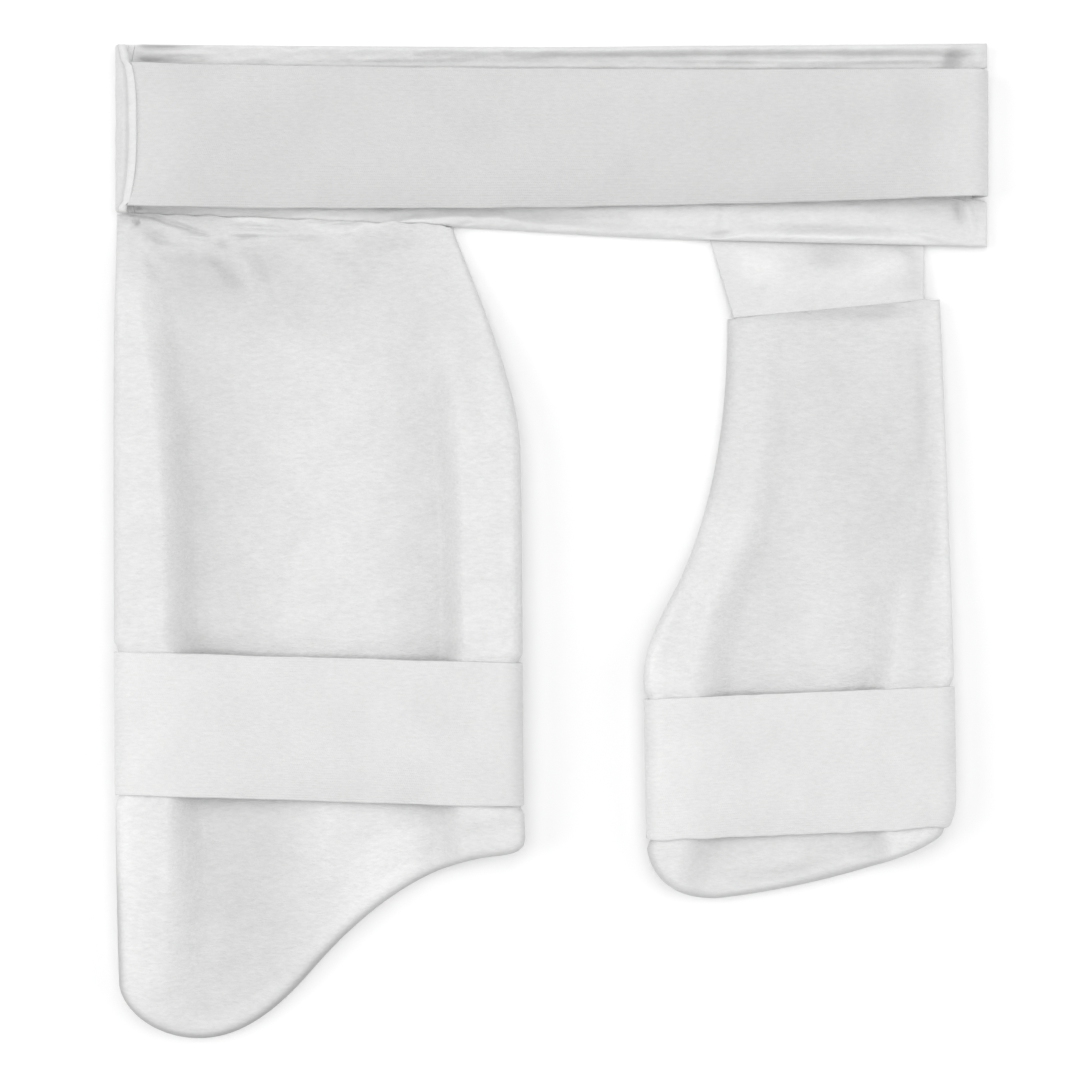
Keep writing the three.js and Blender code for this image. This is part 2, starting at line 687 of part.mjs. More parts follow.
// The tab runs from under the panel's hem to the inner pad's top rim, rippling a little on the way
function innerPadTab() {
  const halfThickness = tabThickness / 2;
  const right = panelLength - tabTopInset;
  const topLeft = new THREE.Vector2(right - tabTopWidth, hemY(right - tabTopWidth) + tabTuck);
  const topRight = new THREE.Vector2(right, hemY(right) + tabTuck);
  const rimLeft = innerPad.topSide(0);
  const rimRight = innerPad.topSide(1);
  const rimY = (x) => {
    const share = (x - innerPad.left - rimLeft.x) / (rimRight.x - rimLeft.x);
    return innerPad.top - lerp(rimLeft.y, rimRight.y, share) + seamGap;
  };
  const lowerRightX = right - tabBottomShift;
  const lowerLeftX = lowerRightX - tabBottomWidth;
  const seamX = (lowerLeftX + lowerRightX) / 2 - innerPad.left;
  const seamHeights = padHeights(innerPad, seamX, (rimLeft.y + rimRight.y) / 2);
  const seamLevel = (seamHeights.inner + seamHeights.outer) / 2;
  const grid = (side) =>
    even(9).map((down) =>
      crowded(12).map((share) => {
        const upper = new THREE.Vector2().lerpVectors(topLeft, topRight, share);
        const lowerX = lerp(lowerLeftX, lowerRightX, share);
        const x = lerp(upper.x, lowerX, down);
        const y = lerp(upper.y, rimY(lowerX), down);
        const wave = 0.5 - 0.5 * Math.cos(5 * Math.PI * share + 2 * down);
        const ripple = tabRipple * Math.sin(Math.PI * down) ** 2 * wave;
        const level = lerp(halfThickness, seamLevel, smoothstep(down, 0.2, 1)) + ripple;
        return new THREE.Vector3(x, y, level + side * halfThickness);
      }),
    );
  return solidBetween(grid(1), grid(-1), false);
}

addPiece("waist_panel", waistPanel(), panelCloth);
addPiece("waist_strap", waistStrap(), elastic);
addPiece("waist_hook_tape", waistHookTape(), hookTape);
addPiece("outer_pad", padSolid(outerPad, 26, 34), coverCloth);
addPiece("outer_thigh_strap", thighStrap(outerPad, outerStrap), elastic);
addPiece("outer_hook_tape", thighHookTape(outerPad, outerStrap), hookTape);
addPiece("inner_pad_tab", innerPadTab(), panelCloth);
addPiece("inner_pad", padSolid(innerPad, 22, 28), coverCloth);
addPiece("inner_thigh_strap", thighStrap(innerPad, innerStrap), elastic);
addPiece("inner_hook_tape", thighHookTape(innerPad, innerStrap), hookTape);

// The part's own origin is the middle of its outline, on the surface that it lies on
const box = new THREE.Box3().setFromObject(guard);
const centre = box.getCenter(new THREE.Vector3());
guard.position.set(-centre.x, -centre.y, -box.min.z);

export default guard;
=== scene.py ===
# %% [markdown]
# # A cricket thigh guard, dressed in Blender
#
# The guard is a cloth waist panel that carries two soft pads, one for the outer and one for the inner thigh,
# with three wide elastic straps over them. It lies on its outer faces, wearer's side up. A fixed frame gives
# every piece its place. This lesson makes the soft pieces that are seen, and their finishes.

import bpy
import numpy as np
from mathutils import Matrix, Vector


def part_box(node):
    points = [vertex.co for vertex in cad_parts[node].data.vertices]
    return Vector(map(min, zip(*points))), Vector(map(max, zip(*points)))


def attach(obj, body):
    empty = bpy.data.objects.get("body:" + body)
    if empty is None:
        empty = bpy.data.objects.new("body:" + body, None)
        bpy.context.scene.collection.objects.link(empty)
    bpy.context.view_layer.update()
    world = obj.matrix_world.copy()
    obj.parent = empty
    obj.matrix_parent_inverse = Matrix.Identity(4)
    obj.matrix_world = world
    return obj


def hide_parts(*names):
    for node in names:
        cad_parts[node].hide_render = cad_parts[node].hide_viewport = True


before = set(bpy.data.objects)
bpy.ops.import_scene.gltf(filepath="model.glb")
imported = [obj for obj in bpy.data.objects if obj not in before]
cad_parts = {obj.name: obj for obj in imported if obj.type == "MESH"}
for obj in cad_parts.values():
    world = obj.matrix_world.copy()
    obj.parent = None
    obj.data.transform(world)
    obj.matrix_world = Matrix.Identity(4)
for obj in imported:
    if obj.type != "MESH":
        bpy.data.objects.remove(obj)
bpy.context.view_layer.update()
scene = bpy.context.scene

# %% [markdown]
# ## Units and the plan
#
# Sewn goods are drawn flat, so every shape here starts on a plan: millimetres to the right of the guard's top
# left corner, and millimetres down from it. Heights are above the ground. One function turns plan points into
# the frame's metres. Working in one plan lets a fold run across a seam from one piece into the next.

# %% From the plan to the frame
MM = 0.001
waist_low, waist_high = (np.array(corner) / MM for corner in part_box("waist_panel"))


def in_frame(x, y, z):
    """Points of the frame in metres, from plan places and heights in millimetres."""
    x, y, z = np.broadcast_arrays(x, y, z)
    return np.stack([waist_low[0] + x, waist_high[1] - y, z], -1) * MM


def plan_box(node):
    """A frame node's left, top, right and bottom on the plan."""
    low, high = (np.array(corner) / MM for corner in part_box(node))
    return low[0] - waist_low[0], waist_high[1] - high[1], high[0] - waist_low[0], waist_high[1] - low[1]


print("outer pad on the plan:", np.round(plan_box("outer_pad"), 1))
print("inner pad on the plan:", np.round(plan_box("inner_pad"), 1))

# %% [markdown]
# ## Camera
#
# The guard is photographed from straight above with a long lens. The picture is square and is 540 mm wide at
# the height of the pads. A camera that isn't turned looks straight down with +Y up, so it only needs a place.

# %% Camera
frame_width = 540.0
frame_level = 10.0
camera_height = 1900.0
camera_centre = (-6.0, 0.3)

camera_data = bpy.data.cameras.new("camera")
camera_data.sensor_width = 36.0
camera_data.lens = camera_data.sensor_width * (camera_height - frame_level) / frame_width
camera = bpy.data.objects.new("camera", camera_data)
camera.location = (camera_centre[0] * MM, camera_centre[1] * MM, camera_height * MM)
scene.collection.objects.link(camera)
scene.camera = camera
print("lens:", round(camera_data.lens, 1), "mm")

# %% [markdown]
# ## Curves, tables and folds
#
# Cloth shapes are mostly gentle steps from one height to another, so a few functions serve every piece: an
# S curve, a table read smoothly between its rows, ridges that follow a line, and soft random waves. They work
# on whole arrays, so a surface of thousands of points takes one call.

# %% Steps and tables
def smooth(value, low, high):
    """0 below low and 1 above high, with an S curve between them."""
    share = np.clip((value - low) / (high - low), 0, 1)
    return share * share * (3 - 2 * share)


def hump(value, middle, width):
    """A bell curve: 1 at its middle and about a third at one width to either side."""
    return np.exp(-(((value - middle) / width) ** 2))


def table(names, *rows):
    """Rows of numbers as named columns."""
    return dict(zip(names.split(), np.array(rows, float).T))


def read(rows, name, along):
    """A column's value at any place: a cubic from row to row, as steep at each row as its neighbours are."""
    keys = rows["along"]
    values = rows[name]
    index = np.arange(len(keys))
    before = np.maximum(index - 1, 0)
    after = np.minimum(index + 1, len(keys) - 1)
    slopes = (values[after] - values[before]) / (keys[after] - keys[before])
    at = np.clip(along, keys[0], keys[-1])
    row = np.clip(np.searchsorted(keys, at, side="right") - 1, 0, len(keys) - 2)
    span = keys[row + 1] - keys[row]
    t = (at - keys[row]) / span
    ease = values[row] + (values[row + 1] - values[row]) * t * t * (3 - 2 * t)
    return ease + t * (1 - t) ** 2 * slopes[row] * span - t * t * (1 - t) * slopes[row + 1] * span


def blend(first, second, share):
    """The value a share of the way from first to second."""
    return first + (second - first) * share


print("an S curve at a third:", round(float(smooth(1 / 3, 0, 1)), 3))

# %% Folds and waves
def fold_table(*rows):
    """Folds as named columns: each one's two ends on the plan, its half width, its rise and its lean, which
    is 0 where the row doesn't give it."""
    return table("x0 y0 x1 y1 width rise lean", *[(row + [0])[:7] for row in rows])


def fold_height(rows, x, y):
    """Height of folds on the plan. Each is a ridge along a line, or a groove where its rise is below zero: a
    bell curve across, lower towards both ends. Its lean makes it steeper on one side."""
    height = np.zeros(np.shape(x))
    for x0, y0, x1, y1, width, rise, lean in zip(*rows.values()):
        run_x = x1 - x0
        run_y = y1 - y0
        length = np.hypot(run_x, run_y)
        share = np.clip(((x - x0) * run_x + (y - y0) * run_y) / length**2, 0, 1)
        away = np.hypot(x - x0 - share * run_x, y - y0 - share * run_y)
        side = np.sign((x - x0) * run_y - (y - y0) * run_x)
        reach = width * (1 + 0.5 * lean * side)
        height += rise * np.sin(np.pi * blend(0.1, 0.9, share)) * hump(away, 0, reach)
    return height


def painted_crease_shade(fold):
    """Painted shade that folds give to cloth, from their height in millimetres: grooves are painted grey
    where shade would gather in them, and ridges get a little painted highlight over flat cloth."""
    return 0.52 * np.clip(-fold / 1.5, 0, 1.5) - 0.22 * np.clip(fold / 1.8, 0, 1)


def waves(x, y, length, stretch, seed):
    """Soft irregular waves from about -1 to 1: nine plane waves in random directions, with lengths near the
    one given and drawn out along X by stretch."""
    random = np.random.default_rng(seed)
    angle = random.uniform(0, 2 * np.pi, 9)
    phase = random.uniform(0, 2 * np.pi, 9)
    size = length * random.uniform(0.6, 1.7, 9)
    along_x = 2 * np.pi * np.cos(angle) / (size * stretch)
    along_y = 2 * np.pi * np.sin(angle) / size
    turns = np.multiply.outer(x, along_x) + np.multiply.outer(y, along_y) + phase
    return np.sin(turns).sum(-1) / 4


print("a groove 2 mm deep is shaded by", round(float(painted_crease_shade(-2.0)), 2))

# %% [markdown]
# ## A closed shell of cloth
#
# Every soft piece here has two faces that meet along its border. A grid of points for each face, with the
# border shared, makes one closed mesh with no loose edges. A chart, in millimetres of cloth, goes with each
# face, so that a weave keeps its size where the cloth bends. The volume tells whether the faces point
# outwards, and they are turned round if they don't.

# %% Grids of cloth
def steps(start, stop, count):
    """Places from start to stop in equal steps."""
    return np.linspace(start, stop, count + 1)


def edged(length, edge, count):
    """Shares from 0 to 1 that crowd within one edge radius of both ends, where the cloth turns round."""
    corner = (1 - np.cos(steps(0, np.pi / 2, 6))) * edge / length
    return np.concatenate([corner[:-1], steps(corner[-1], 1 - corner[-1], count), 1 - corner[-2::-1]])


def line_lengths(grid):
    """How far each point lies along its column and along its row, in the grid's own units."""
    down = np.linalg.norm(np.diff(grid, axis=0), axis=2)
    across = np.linalg.norm(np.diff(grid, axis=1), axis=2)
    down = np.pad(np.cumsum(down, axis=0), ((1, 0), (0, 0)))
    return down, np.pad(np.cumsum(across, axis=1), ((0, 0), (1, 0)))


def border_distance(grid):
    """How far each point is from the nearest border, measured along the grid's lines."""
    down, across = line_lengths(grid)
    return np.minimum.reduce([down, down[-1:] - down, across, across[:, -1:] - across])


def chart_of(grid):
    """A chart of a face: millimetres across it from its middle line and down it, measured on the cloth."""
    down, across = line_lengths(grid)
    return np.stack([across - across[:, -1:] / 2, down], -1)


def facing(grid):
    """Unit normals of a grid: the cross product of its two directions, divided by its length."""
    normal = np.cross(np.gradient(grid, axis=0), np.gradient(grid, axis=1))
    return normal / np.maximum(np.linalg.norm(normal, axis=2, keepdims=True), 1e-12)


def facing_up(grid, place, way=1):
    """A grid's normals, all turned so that the one at a place points up, or down where the way is -1."""
    normal = facing(grid)
    return normal * way * np.sign(normal[place][2])


def rounded(distance, radius):
    """A quarter circle: 0 at an edge and 1 from one radius inwards."""
    inwards = np.clip(distance / radius, 0, 1)
    return np.sqrt(1 - (1 - inwards) ** 2)


print("a quarter circle half way in:", round(float(rounded(0.5, 1.0)), 3))


# %% Shells
def shell(name, upper, lower, shade=0.0, under=0.0):
    """A closed mesh from two grids of points in metres that share their border. Shade is a value or a grid
    of painted shade for the upper face and under for the lower one: 0 is unshaded cloth, 1 is painted grey,
    below 0 is painted highlight, and the material reads it."""
    rows, columns = upper.shape[:2]
    top = np.arange(rows * columns).reshape(rows, columns)
    inner_count = (rows - 2) * (columns - 2)
    bottom = top.copy()
    bottom[1:-1, 1:-1] = rows * columns + np.arange(inner_count).reshape(rows - 2, columns - 2)

    def quads(grid):
        """The grid's faces: four neighbouring points each."""
        corners = [grid[:-1, :-1], grid[1:, :-1], grid[1:, 1:], grid[:-1, 1:]]
        return np.stack(corners, -1).reshape(-1, 4)

    points = np.concatenate([upper.reshape(-1, 3), lower[1:-1, 1:-1].reshape(-1, 3)])
    faces = np.concatenate([quads(top), quads(bottom)[:, ::-1]])
    chart = np.concatenate([
        chart_of(upper).reshape(-1, 2)[quads(top)],
        chart_of(lower).reshape(-1, 2)[quads(top)[:, ::-1]],
    ])
    a, b, c, d = (points[faces[:, k]] for k in range(4))
    volume = (a * np.cross(b, c)).sum() + (a * np.cross(c, d)).sum()
    if volume < 0:
        faces = faces[:, ::-1]
        chart = chart[:, ::-1]
    mesh = bpy.data.meshes.new(name)
    mesh.vertices.add(len(points))
    mesh.vertices.foreach_set("co", points.ravel())
    mesh.loops.add(faces.size)
    mesh.loops.foreach_set("vertex_index", faces.ravel())
    mesh.polygons.add(len(faces))
    mesh.polygons.foreach_set("loop_start", np.arange(0, faces.size, 4))
    mesh.update(calc_edges=True)
    mesh.shade_smooth()
    mesh.uv_layers.new(name="cloth").uv.foreach_set("vector", chart.ravel())
    on_upper, on_lower = (np.broadcast_to(value, (rows, columns)) for value in (shade, under))
    values = mesh.attributes.new("shade", "FLOAT", "POINT").data
    values.foreach_set("value", np.concatenate([on_upper.ravel(), on_lower[1:-1, 1:-1].ravel()]))
    piece = bpy.data.objects.new(name, mesh)
    scene.collection.objects.link(piece)
    print(name, "has", len(faces) * 2, "triangles")
    return piece


def cloth_shell(name, middle, thickness, shade=0.0):
    """A shell half its thickness to either side of a middle grid in metres, rounded at its border."""
    half = rounded(border_distance(middle), thickness * MM / 2) * thickness * MM / 2
    offset = facing(middle) * half[..., None]
    return shell(name, middle + offset, middle - offset, shade, shade)


# %% [markdown]
# ## The waist's lines
#
# The panel is a soft band that is a little deeper on the right. Its left end turns up and back over itself as
# a lip, and the waist strap is sewn to that lip. The strap then runs over the panel to its right end, turns
# round it and lies underneath. All later pieces hang from these lines, so they come first.

# %% Waist lines
panel_length = waist_high[0] - waist_low[0]
panel_left_height = 85.3
panel_right_height = 102.2
panel_thickness = 3.4
panel_top_sag = 1.4
panel_lip_flat = 0.6
panel_lip_bow = 4.8
panel_slope = 60.0
seam_gap = 0.3
waist_strap_thickness = 1.8
waist_loop_depth = 13.0
waist_strap_sag = 5.0
waist_strap_droop = 4.4
waist_tail_length = 42.0
waist_tape_length = 55.0
tab_top_width = 110.5
tab_top_inset = 31.0

hem_fall = table("along fall", [0, 0], [0.39, 0.4], [0.62, 0.73], [0.94, 0.95], [1, 1])


def hem_y(x):
    """The panel's lower hem on the plan."""
    return blend(panel_left_height, panel_right_height, read(hem_fall, "fall", x / panel_length))


def top_y(x):
    """The panel's upper hem, which sags a little between its ends."""
    return panel_top_sag * np.sin(np.pi * np.clip(x / panel_length, 0, 1))


def strap_top(x):
    """The waist strap's upper edge: 10.3 mm down at the lip and 14.2 mm down at the turn."""
    return blend(10.3, 14.2, np.sqrt(np.clip(x / panel_length, 0, 1)))


def strap_width(x):
    """The waist strap narrows from 71.5 mm to 63 mm where it is pulled round the panel's end."""
    return blend(71.5, 63.0, np.clip(x / panel_length, 0, 1) ** 2)


print("panel heights:", round(float(hem_y(0.0)), 1), "to", round(float(hem_y(panel_length)), 1), "mm")

# %% Waist levels
panel_middle = panel_thickness / 2
strap_level = panel_thickness + waist_loop_depth + waist_strap_thickness / 2
lip_radius = (strap_level - panel_middle) / 2
lip_x = lip_radius + panel_middle
lip_reach = lip_x + panel_lip_flat
lip_length = panel_lip_flat + np.pi * lip_radius
turn_radius = (strap_level - waist_strap_thickness / 2) / 2
turn_x = panel_length - turn_radius - waist_strap_thickness / 2
strap_start = lip_reach + seam_gap
strap_run = turn_x - strap_start
tail_start = strap_run + np.pi * turn_radius


def panel_level(x):
    """Height of the panel's middle, which rises to lie over the strap's tail, its hook tape and the tab."""
    tab_from = panel_length - tab_top_inset - tab_top_width
    tape_from = turn_x - waist_tail_length - seam_gap - waist_tape_length
    lifted_from = min(tab_from, tape_from) - panel_thickness
    lift = waist_strap_thickness + seam_gap
    return panel_middle + lift * smooth(x, lifted_from - panel_slope, lifted_from)


def panel_line(distance):
    """Place and height of the panel's middle along the cloth: a short flat lip, half a turn, then the run
    along the ground."""
    angle = np.clip((distance - panel_lip_flat) / lip_radius, 0, np.pi)
    turned = np.clip(lip_reach - distance, lip_x, None) - lip_radius * np.sin(angle)
    run = lip_x + distance - lip_length
    on_run = distance > lip_length
    x = np.where(on_run, run, turned)
    return x, np.where(on_run, panel_level(run), strap_level - lip_radius * (1 - np.cos(angle)))


print("lip reaches", round(lip_reach, 1), "mm, strap lies", round(strap_level, 1), "mm up")

# %% [markdown]
# ## Waist panel
#
# A band of soft cloth like this keeps a rolled hem on both edges, and it creases where the strap pulls on it.
# It is drawn as a grid: one direction follows the cloth from the lip to the far end, the other runs from the
# upper hem to the lower one. The folds are listed on the plan, with a ridge for each roll and a groove beside
# it. A second list, in the same form, gives broad patches of painted shade and painted highlight: grey where
# the shade of gentle hollows is painted in, and white where light is painted onto the cloth.

# %% The panel's folds
panel_folds = fold_table(
    [150, 3.2, 222, 3.5, 2, 1.8, 0.3],
    [196, 3.4, 436, 2.7, 2.3, 2.8, 0.3],
    [60, 2.6, 170, 3, 1.8, 0.9, 0.3],
    [20, 4.9, 50, 5.2, 1.4, 1],
    [4, 1.7, 40, 2, 1.3, -1.8],
    [-8, 8.4, 34, 9.4, 1.7, -1.8],
    [83, 2, 92, 2.3, 0.9, -1.4],
    [100, 9.8, 180, 9.2, 1.3, -1],
    [150, 8.6, 300, 8.6, 2.4, -1.2],
    [212, 6.2, 434, 6.5, 1.3, -1.7],
    [270, 9.8, 330, 10.4, 1.1, -1.2],
    [318, 8.8, 380, 9.2, 1.3, 0.7],
    [366, 10.8, 412, 10.2, 1.2, -1.4],
    [421, 2.5, 416, 13.5, 3.2, -2.3],
    [425, 8, 417, 12.5, 2.6, -1.6],
    [431.5, 3, 431, 13.5, 2.4, 1.8],
    [9.4, 81.3, 11.4, 81.7, 1.3, -2.8],
    [8, 82.2, 46, 84.6, 1.4, -1],
    [4, 79, 124, 82.5, 5, 2.6],
    [186, 83.6, 262, 87.2, 2.2, -1.2],
    [171, 91.6, 178, 89.8, 0.8, -1.2],
    [222, 92.4, 300, 96, 2.6, 1.7],
    [236, 86, 268, 92, 2.4, 0.7, 0.4],
    [262, 85, 296, 92.5, 2.4, 0.7, 0.4],
    [302.5, 82, 302.8, 94, 1.1, -0.9],
    [305.5, 82, 306.5, 94, 1.4, 0.7],
    [294, 96.6, 313, 95.2, 1.5, -2],
    [312, 91.8, 402, 93.4, 1.5, -1.1],
    [306, 96.2, 402, 98.2, 1.7, 2, 0.3],
    [310, 86.6, 400, 85.6, 2.6, 0.6],
    [392, 93.2, 420, 99.6, 1.8, 1.9, 0.3],
    [420.5, 78, 423.5, 91, 1.7, -2],
    [425.5, 79, 429.5, 96, 1.8, 2],
)
seam_folds = fold_table(
    [106, 98.4, 128, 92.6, 3.2, 1.9, -0.6],
    [118, 94.4, 152, 89, 3.4, 2.8, -0.7],
    [142, 89.6, 176, 87.4, 3.6, 2.8, -0.7],
    [166, 87.6, 200, 88.6, 3.4, 2.6, -0.6],
    [188, 88.4, 234, 93, 3.2, 2.2, -0.6],
)
# Patches of painted shade, where the rise is above zero, and painted highlight, where it is below, in the
# folds' form.
panel_tones = fold_table(
    [414, 17, 424, 0.5, 5.2, 0.5],
    [-4, 6.6, 40, 8, 4, 0.5],
    [2, 0.8, 42, 1, 1.3, 0.9],
    [150, 87, 300, 94, 3, 0.5],
    [318, 93, 404, 94.5, 2.2, 0.45],
    [306, 97.6, 404, 99.4, 1.5, -0.6],
    [50, 87.4, 86, 89.4, 1.7, -0.8],
    [84, 88.2, 122, 88.8, 1.9, -0.9],
    [421, 78, 419, 90, 3.4, 0.4],
)
print(len(panel_folds["x0"]), "folds on the waist panel")

# %% The panel's middle
panel_columns = 316
lip_columns = 56
panel_rows = 116
panel_ear = 1.7
lip_inset = 2.0
on_the_ground = 283, 296


def lip_bow(down):
    """How far the lip's free edge draws back: nothing in the middle of its height and most at both ends."""
    return panel_lip_bow * np.abs(2 * down - 1) ** 3


def panel_course():
    """The panel's middle: its line carried down its height. The strap's turn pulls its right end in between
    two ears, and its lower hem stays on the ground until the tab begins. Gives each point's distance from the
    lip's free edge, a share that is 1 past the lip, and its place and height."""
    full = lip_length - lip_x + panel_length
    round_lip = steps(panel_middle, lip_length, lip_columns) / full
    share = np.union1d(edged(full, panel_middle, panel_columns), round_lip)[:, None]
    down = edged(panel_left_height, panel_middle, panel_rows)[None, :]
    place = blend(top_y(turn_x), hem_y(turn_x), down)
    strap_start_y = strap_top(turn_x)
    strap_end_y = strap_start_y + strap_width(turn_x)
    beside_strap = smooth(place, strap_start_y - panel_ear, strap_start_y - seam_gap)
    beside_strap = beside_strap * (1 - smooth(place, strap_end_y + seam_gap, strap_end_y + panel_ear))
    end = full - (panel_length - turn_x - panel_middle) * beside_strap
    distance = blend(lip_bow(down), end, share)
    x, z = panel_line(distance)
    past_lip = smooth(distance, lip_length - 2, lip_length + 4)
    y = blend(top_y(x), hem_y(x), down) + lip_inset * (z / strap_level) * (1 - down) ** 2 * (1 - past_lip)
    near_hem = 1 - smooth(hem_y(x) - y, 1, 10)
    z = z - (panel_level(x) - panel_middle) * near_hem * (1 - smooth(x, *on_the_ground)) * past_lip
    return distance - lip_bow(down), past_lip, x, y, z


print("lip draws back by", lip_bow(np.array([0, 0.25, 0.5])), "mm")


# %% Shade of the panel
def run_shade(x, y):
    """Painted shade of the panel past its lip, besides its folds': a painted base grey, a painted shadow line
    along the strap's upper edge, a greyer painted margin above it, and the patches of painted shade and
    highlight."""
    painted_strap_shadow = hump(y, strap_top(x) - 1.0, 0.7)
    above_strap = (1 - smooth(y, 14, 20)) * smooth(x, 60, 170)
    return 0.25 + 0.25 * above_strap + 0.9 * painted_strap_shadow + fold_height(panel_tones, x, y)


def lip_shade(x, from_edge):
    """Shade of the lip's outer side, besides its groove's: a base, more past its groove, and most where it
    turns under."""
    return 0.2 + 0.25 * smooth(from_edge, 3.2, 4.2) + 1.1 * (1 - smooth(x, 0, 2.2))


print("shade of the lower hem:", np.round(run_shade(np.array([100.0, 300.0]), 88.0), 2))

# %% Waist panel
lip_bead = {"rise": 0.45, "place": 1.9, "width": 1.5}
lip_groove = {"rise": 1.2, "place": 3.9, "width": 0.6}
panel_lean = 2.5
lean_reach = 1.2
deepest_fold = 2.9


def waist_panel():
    """The panel's two faces: its middle plus and minus half its thickness. The folds rise on the upper face.
    On the lip the faces change sides, so its bead and groove are on the lower one, and the bead leans over
    the strap's sewn end."""
    from_edge, past_lip, x, y, z = panel_course()
    middle = in_frame(x, y, z)
    rim = rounded(border_distance(middle) / MM, panel_middle)
    normal = facing_up(middle, (-20, 40))
    ripple = 0.3 * waves(x, y, 9.0, 3.0, 11) + 0.22 * waves(x, y, 3.6, 2.4, 12)
    bead, groove = (
        line["rise"] * hump(from_edge, line["place"], line["width"]) for line in (lip_bead, lip_groove)
    )
    lip_fold = (bead - groove + 0.2 * waves(z, y, 13.0, 1.0, 13)) * (1 - past_lip)
    run_fold = (fold_height(panel_folds, x, y) + fold_height(seam_folds, x, y) + ripple) * past_lip
    run_fold = np.maximum(run_fold, -deepest_fold)
    upper = (panel_middle + run_fold) * rim
    lower = (panel_middle + lip_fold + 0.3 * np.minimum(ripple, 0) * past_lip) * rim
    grids = [middle + normal * upper[..., None] * MM, middle - normal * lower[..., None] * MM]
    inwards = np.clip(from_edge, 0, None) / lean_reach
    over_strap = panel_lean * inwards * np.exp(1 - inwards) * (1 - past_lip)
    grids[1][..., 0] += over_strap * smooth(y, 10, 13) * (1 - smooth(y, 80, 83)) * MM
    # Painted shade and highlight: the folds' painted crease shade, and the run's and the lip's painted shade.
    upper_shade = painted_crease_shade(run_fold) + run_shade(x, y) * past_lip
    lower_shade = painted_crease_shade(1.5 * lip_fold) + lip_shade(x, from_edge) * (1 - past_lip)
    return shell("waist_panel_cloth", *grids, upper_shade, lower_shade)


panel = waist_panel()

# %% [markdown]
# ## Waist strap
#
# The strap is wide knitted elastic. Webbing stays flat across its width, so a cloth simulation would add
# nothing but noise: its middle line is worked out, and its width is carried along it. Its two edges wander by
# a fraction of a millimetre, as elastic does once it has been stretched, and droop where the loop is free.

# %% Waist strap
def waist_strap_line(distance):
    """Place and height of the strap's middle: a shallow sag over the panel, half a turn round its end and the
    tail under it."""
    sag = waist_strap_sag * np.sin(np.pi * np.clip(distance / strap_run, 0, 1)) ** 2
    angle = np.clip((distance - strap_run) / turn_radius, 0, np.pi)
    x = np.clip(distance, None, strap_run) + strap_start + turn_radius * np.sin(angle)
    x = x - np.clip(distance - tail_start, 0, None)
    return x, strap_level - sag - turn_radius * (1 - np.cos(angle))


def waist_ribbon(name, start, length, thickness, margin, drop, count):
    """A band of the waist strap's course: its line carried from its upper edge to its lower one, or from a
    margin inside each. Its edges droop over the panel, and its sewn end follows the lip's bow."""
    distance = (start + length * edged(length, thickness / 2, count))[:, None]
    down = edged(70.0, thickness / 2, 44)[None, :]
    x, z = waist_strap_line(distance)
    wander = 0.18 * waves(distance, 40 * np.round(down), 34.0, 1.0, 21)
    y = strap_top(x) + margin + (strap_width(x) - 2 * margin) * down + wander * (2 * down - 1)
    lift = 0.35 * waves(distance, 60 * down, 46.0, 1.0, 22) - waist_strap_droop
    lift = lift * np.abs(2 * down - 1) ** 3 * smooth(strap_run - distance, 0, 70) * smooth(distance, 0, 60)
    drawn_back = lip_bow((y - top_y(x)) / (hem_y(x) - top_y(x))) * (1 - smooth(distance, 0, 24))
    # Painted shade: the strap's run is painted greyer, for the light that falls off towards the waist, and
    # lighter near its two ends; the small waves are a random change of tone.
    shade = 0.62 + 0.2 * smooth(distance, 4, 34) - 0.34 * smooth(distance, strap_run - 30, strap_run)
    shade = shade + 0.06 * waves(distance, y, 50.0, 1.0, 23)
    return cloth_shell(name, in_frame(x - drawn_back, y, z + lift - drop), thickness, shade)


waist_strap = waist_ribbon(
    "waist_elastic", 0.0, tail_start + waist_tail_length, waist_strap_thickness, 0.0, 0.0, 260
)
waist_tape = waist_ribbon(
    "waist_hooks", tail_start + waist_tail_length + seam_gap, waist_tape_length, 1.2, 3.0, 0.3, 50
)

# %% [markdown]
# ## Outlines of the pads
#
# Both pads have an outline of four sides: a top seam, two long sides and a lower edge that slants up. A side
# is a chain of Bezier curves, in shares of the pad's width and length. A grid between the four sides carries
# the surface. Near the rounded corners such a grid bunches up, so its inner points are moved to the average
# of their neighbours many times, as a net under even tension settles.

# %% Sides
net_rows, net_columns = 141, 71


def bezier_side(pad, points, count):
    """Evenly spaced points along a chain of cubic Bezier curves, on the pad's own plan in millimetres."""
    corners = np.array(points) * [pad["width"], pad["length"]]
    t = np.linspace(0, 1, 160)[:, None]
    pieces = [
        (1 - t) ** 3 * a + 3 * t * (1 - t) ** 2 * b + 3 * t * t * (1 - t) * c + t**3 * d
        for a, b, c, d in (corners[k : k + 4] for k in range(0, len(corners) - 1, 3))
    ]
    chain = np.concatenate(pieces)
    along = np.concatenate([[0], np.cumsum(np.linalg.norm(np.diff(chain, axis=0), axis=1))])
    even = np.linspace(0, along[-1], count)
    return np.stack([np.interp(even, along, chain[:, 0]), np.interp(even, along, chain[:, 1])], -1)


def plan_net(sides, rows, columns):
    """A net of plan points between four sides: the sides blended across each other, less the blend of their
    corners, then relaxed."""
    top, right, lower, left = sides
    u = np.linspace(0, 1, columns)[None, :, None]
    v = np.linspace(0, 1, rows)[:, None, None]
    across = blend(left[:, None], right[:, None], u)
    along = blend(top[None], lower[None], v)
    corners = blend(blend(top[0], top[-1], u), blend(lower[0], lower[-1], u), v)
    net = across + along - corners
    for _ in range(500):
        net[1:-1, 1:-1] = (net[:-2, 1:-1] + net[2:, 1:-1] + net[1:-1, :-2] + net[1:-1, 2:]) / 4
    return net


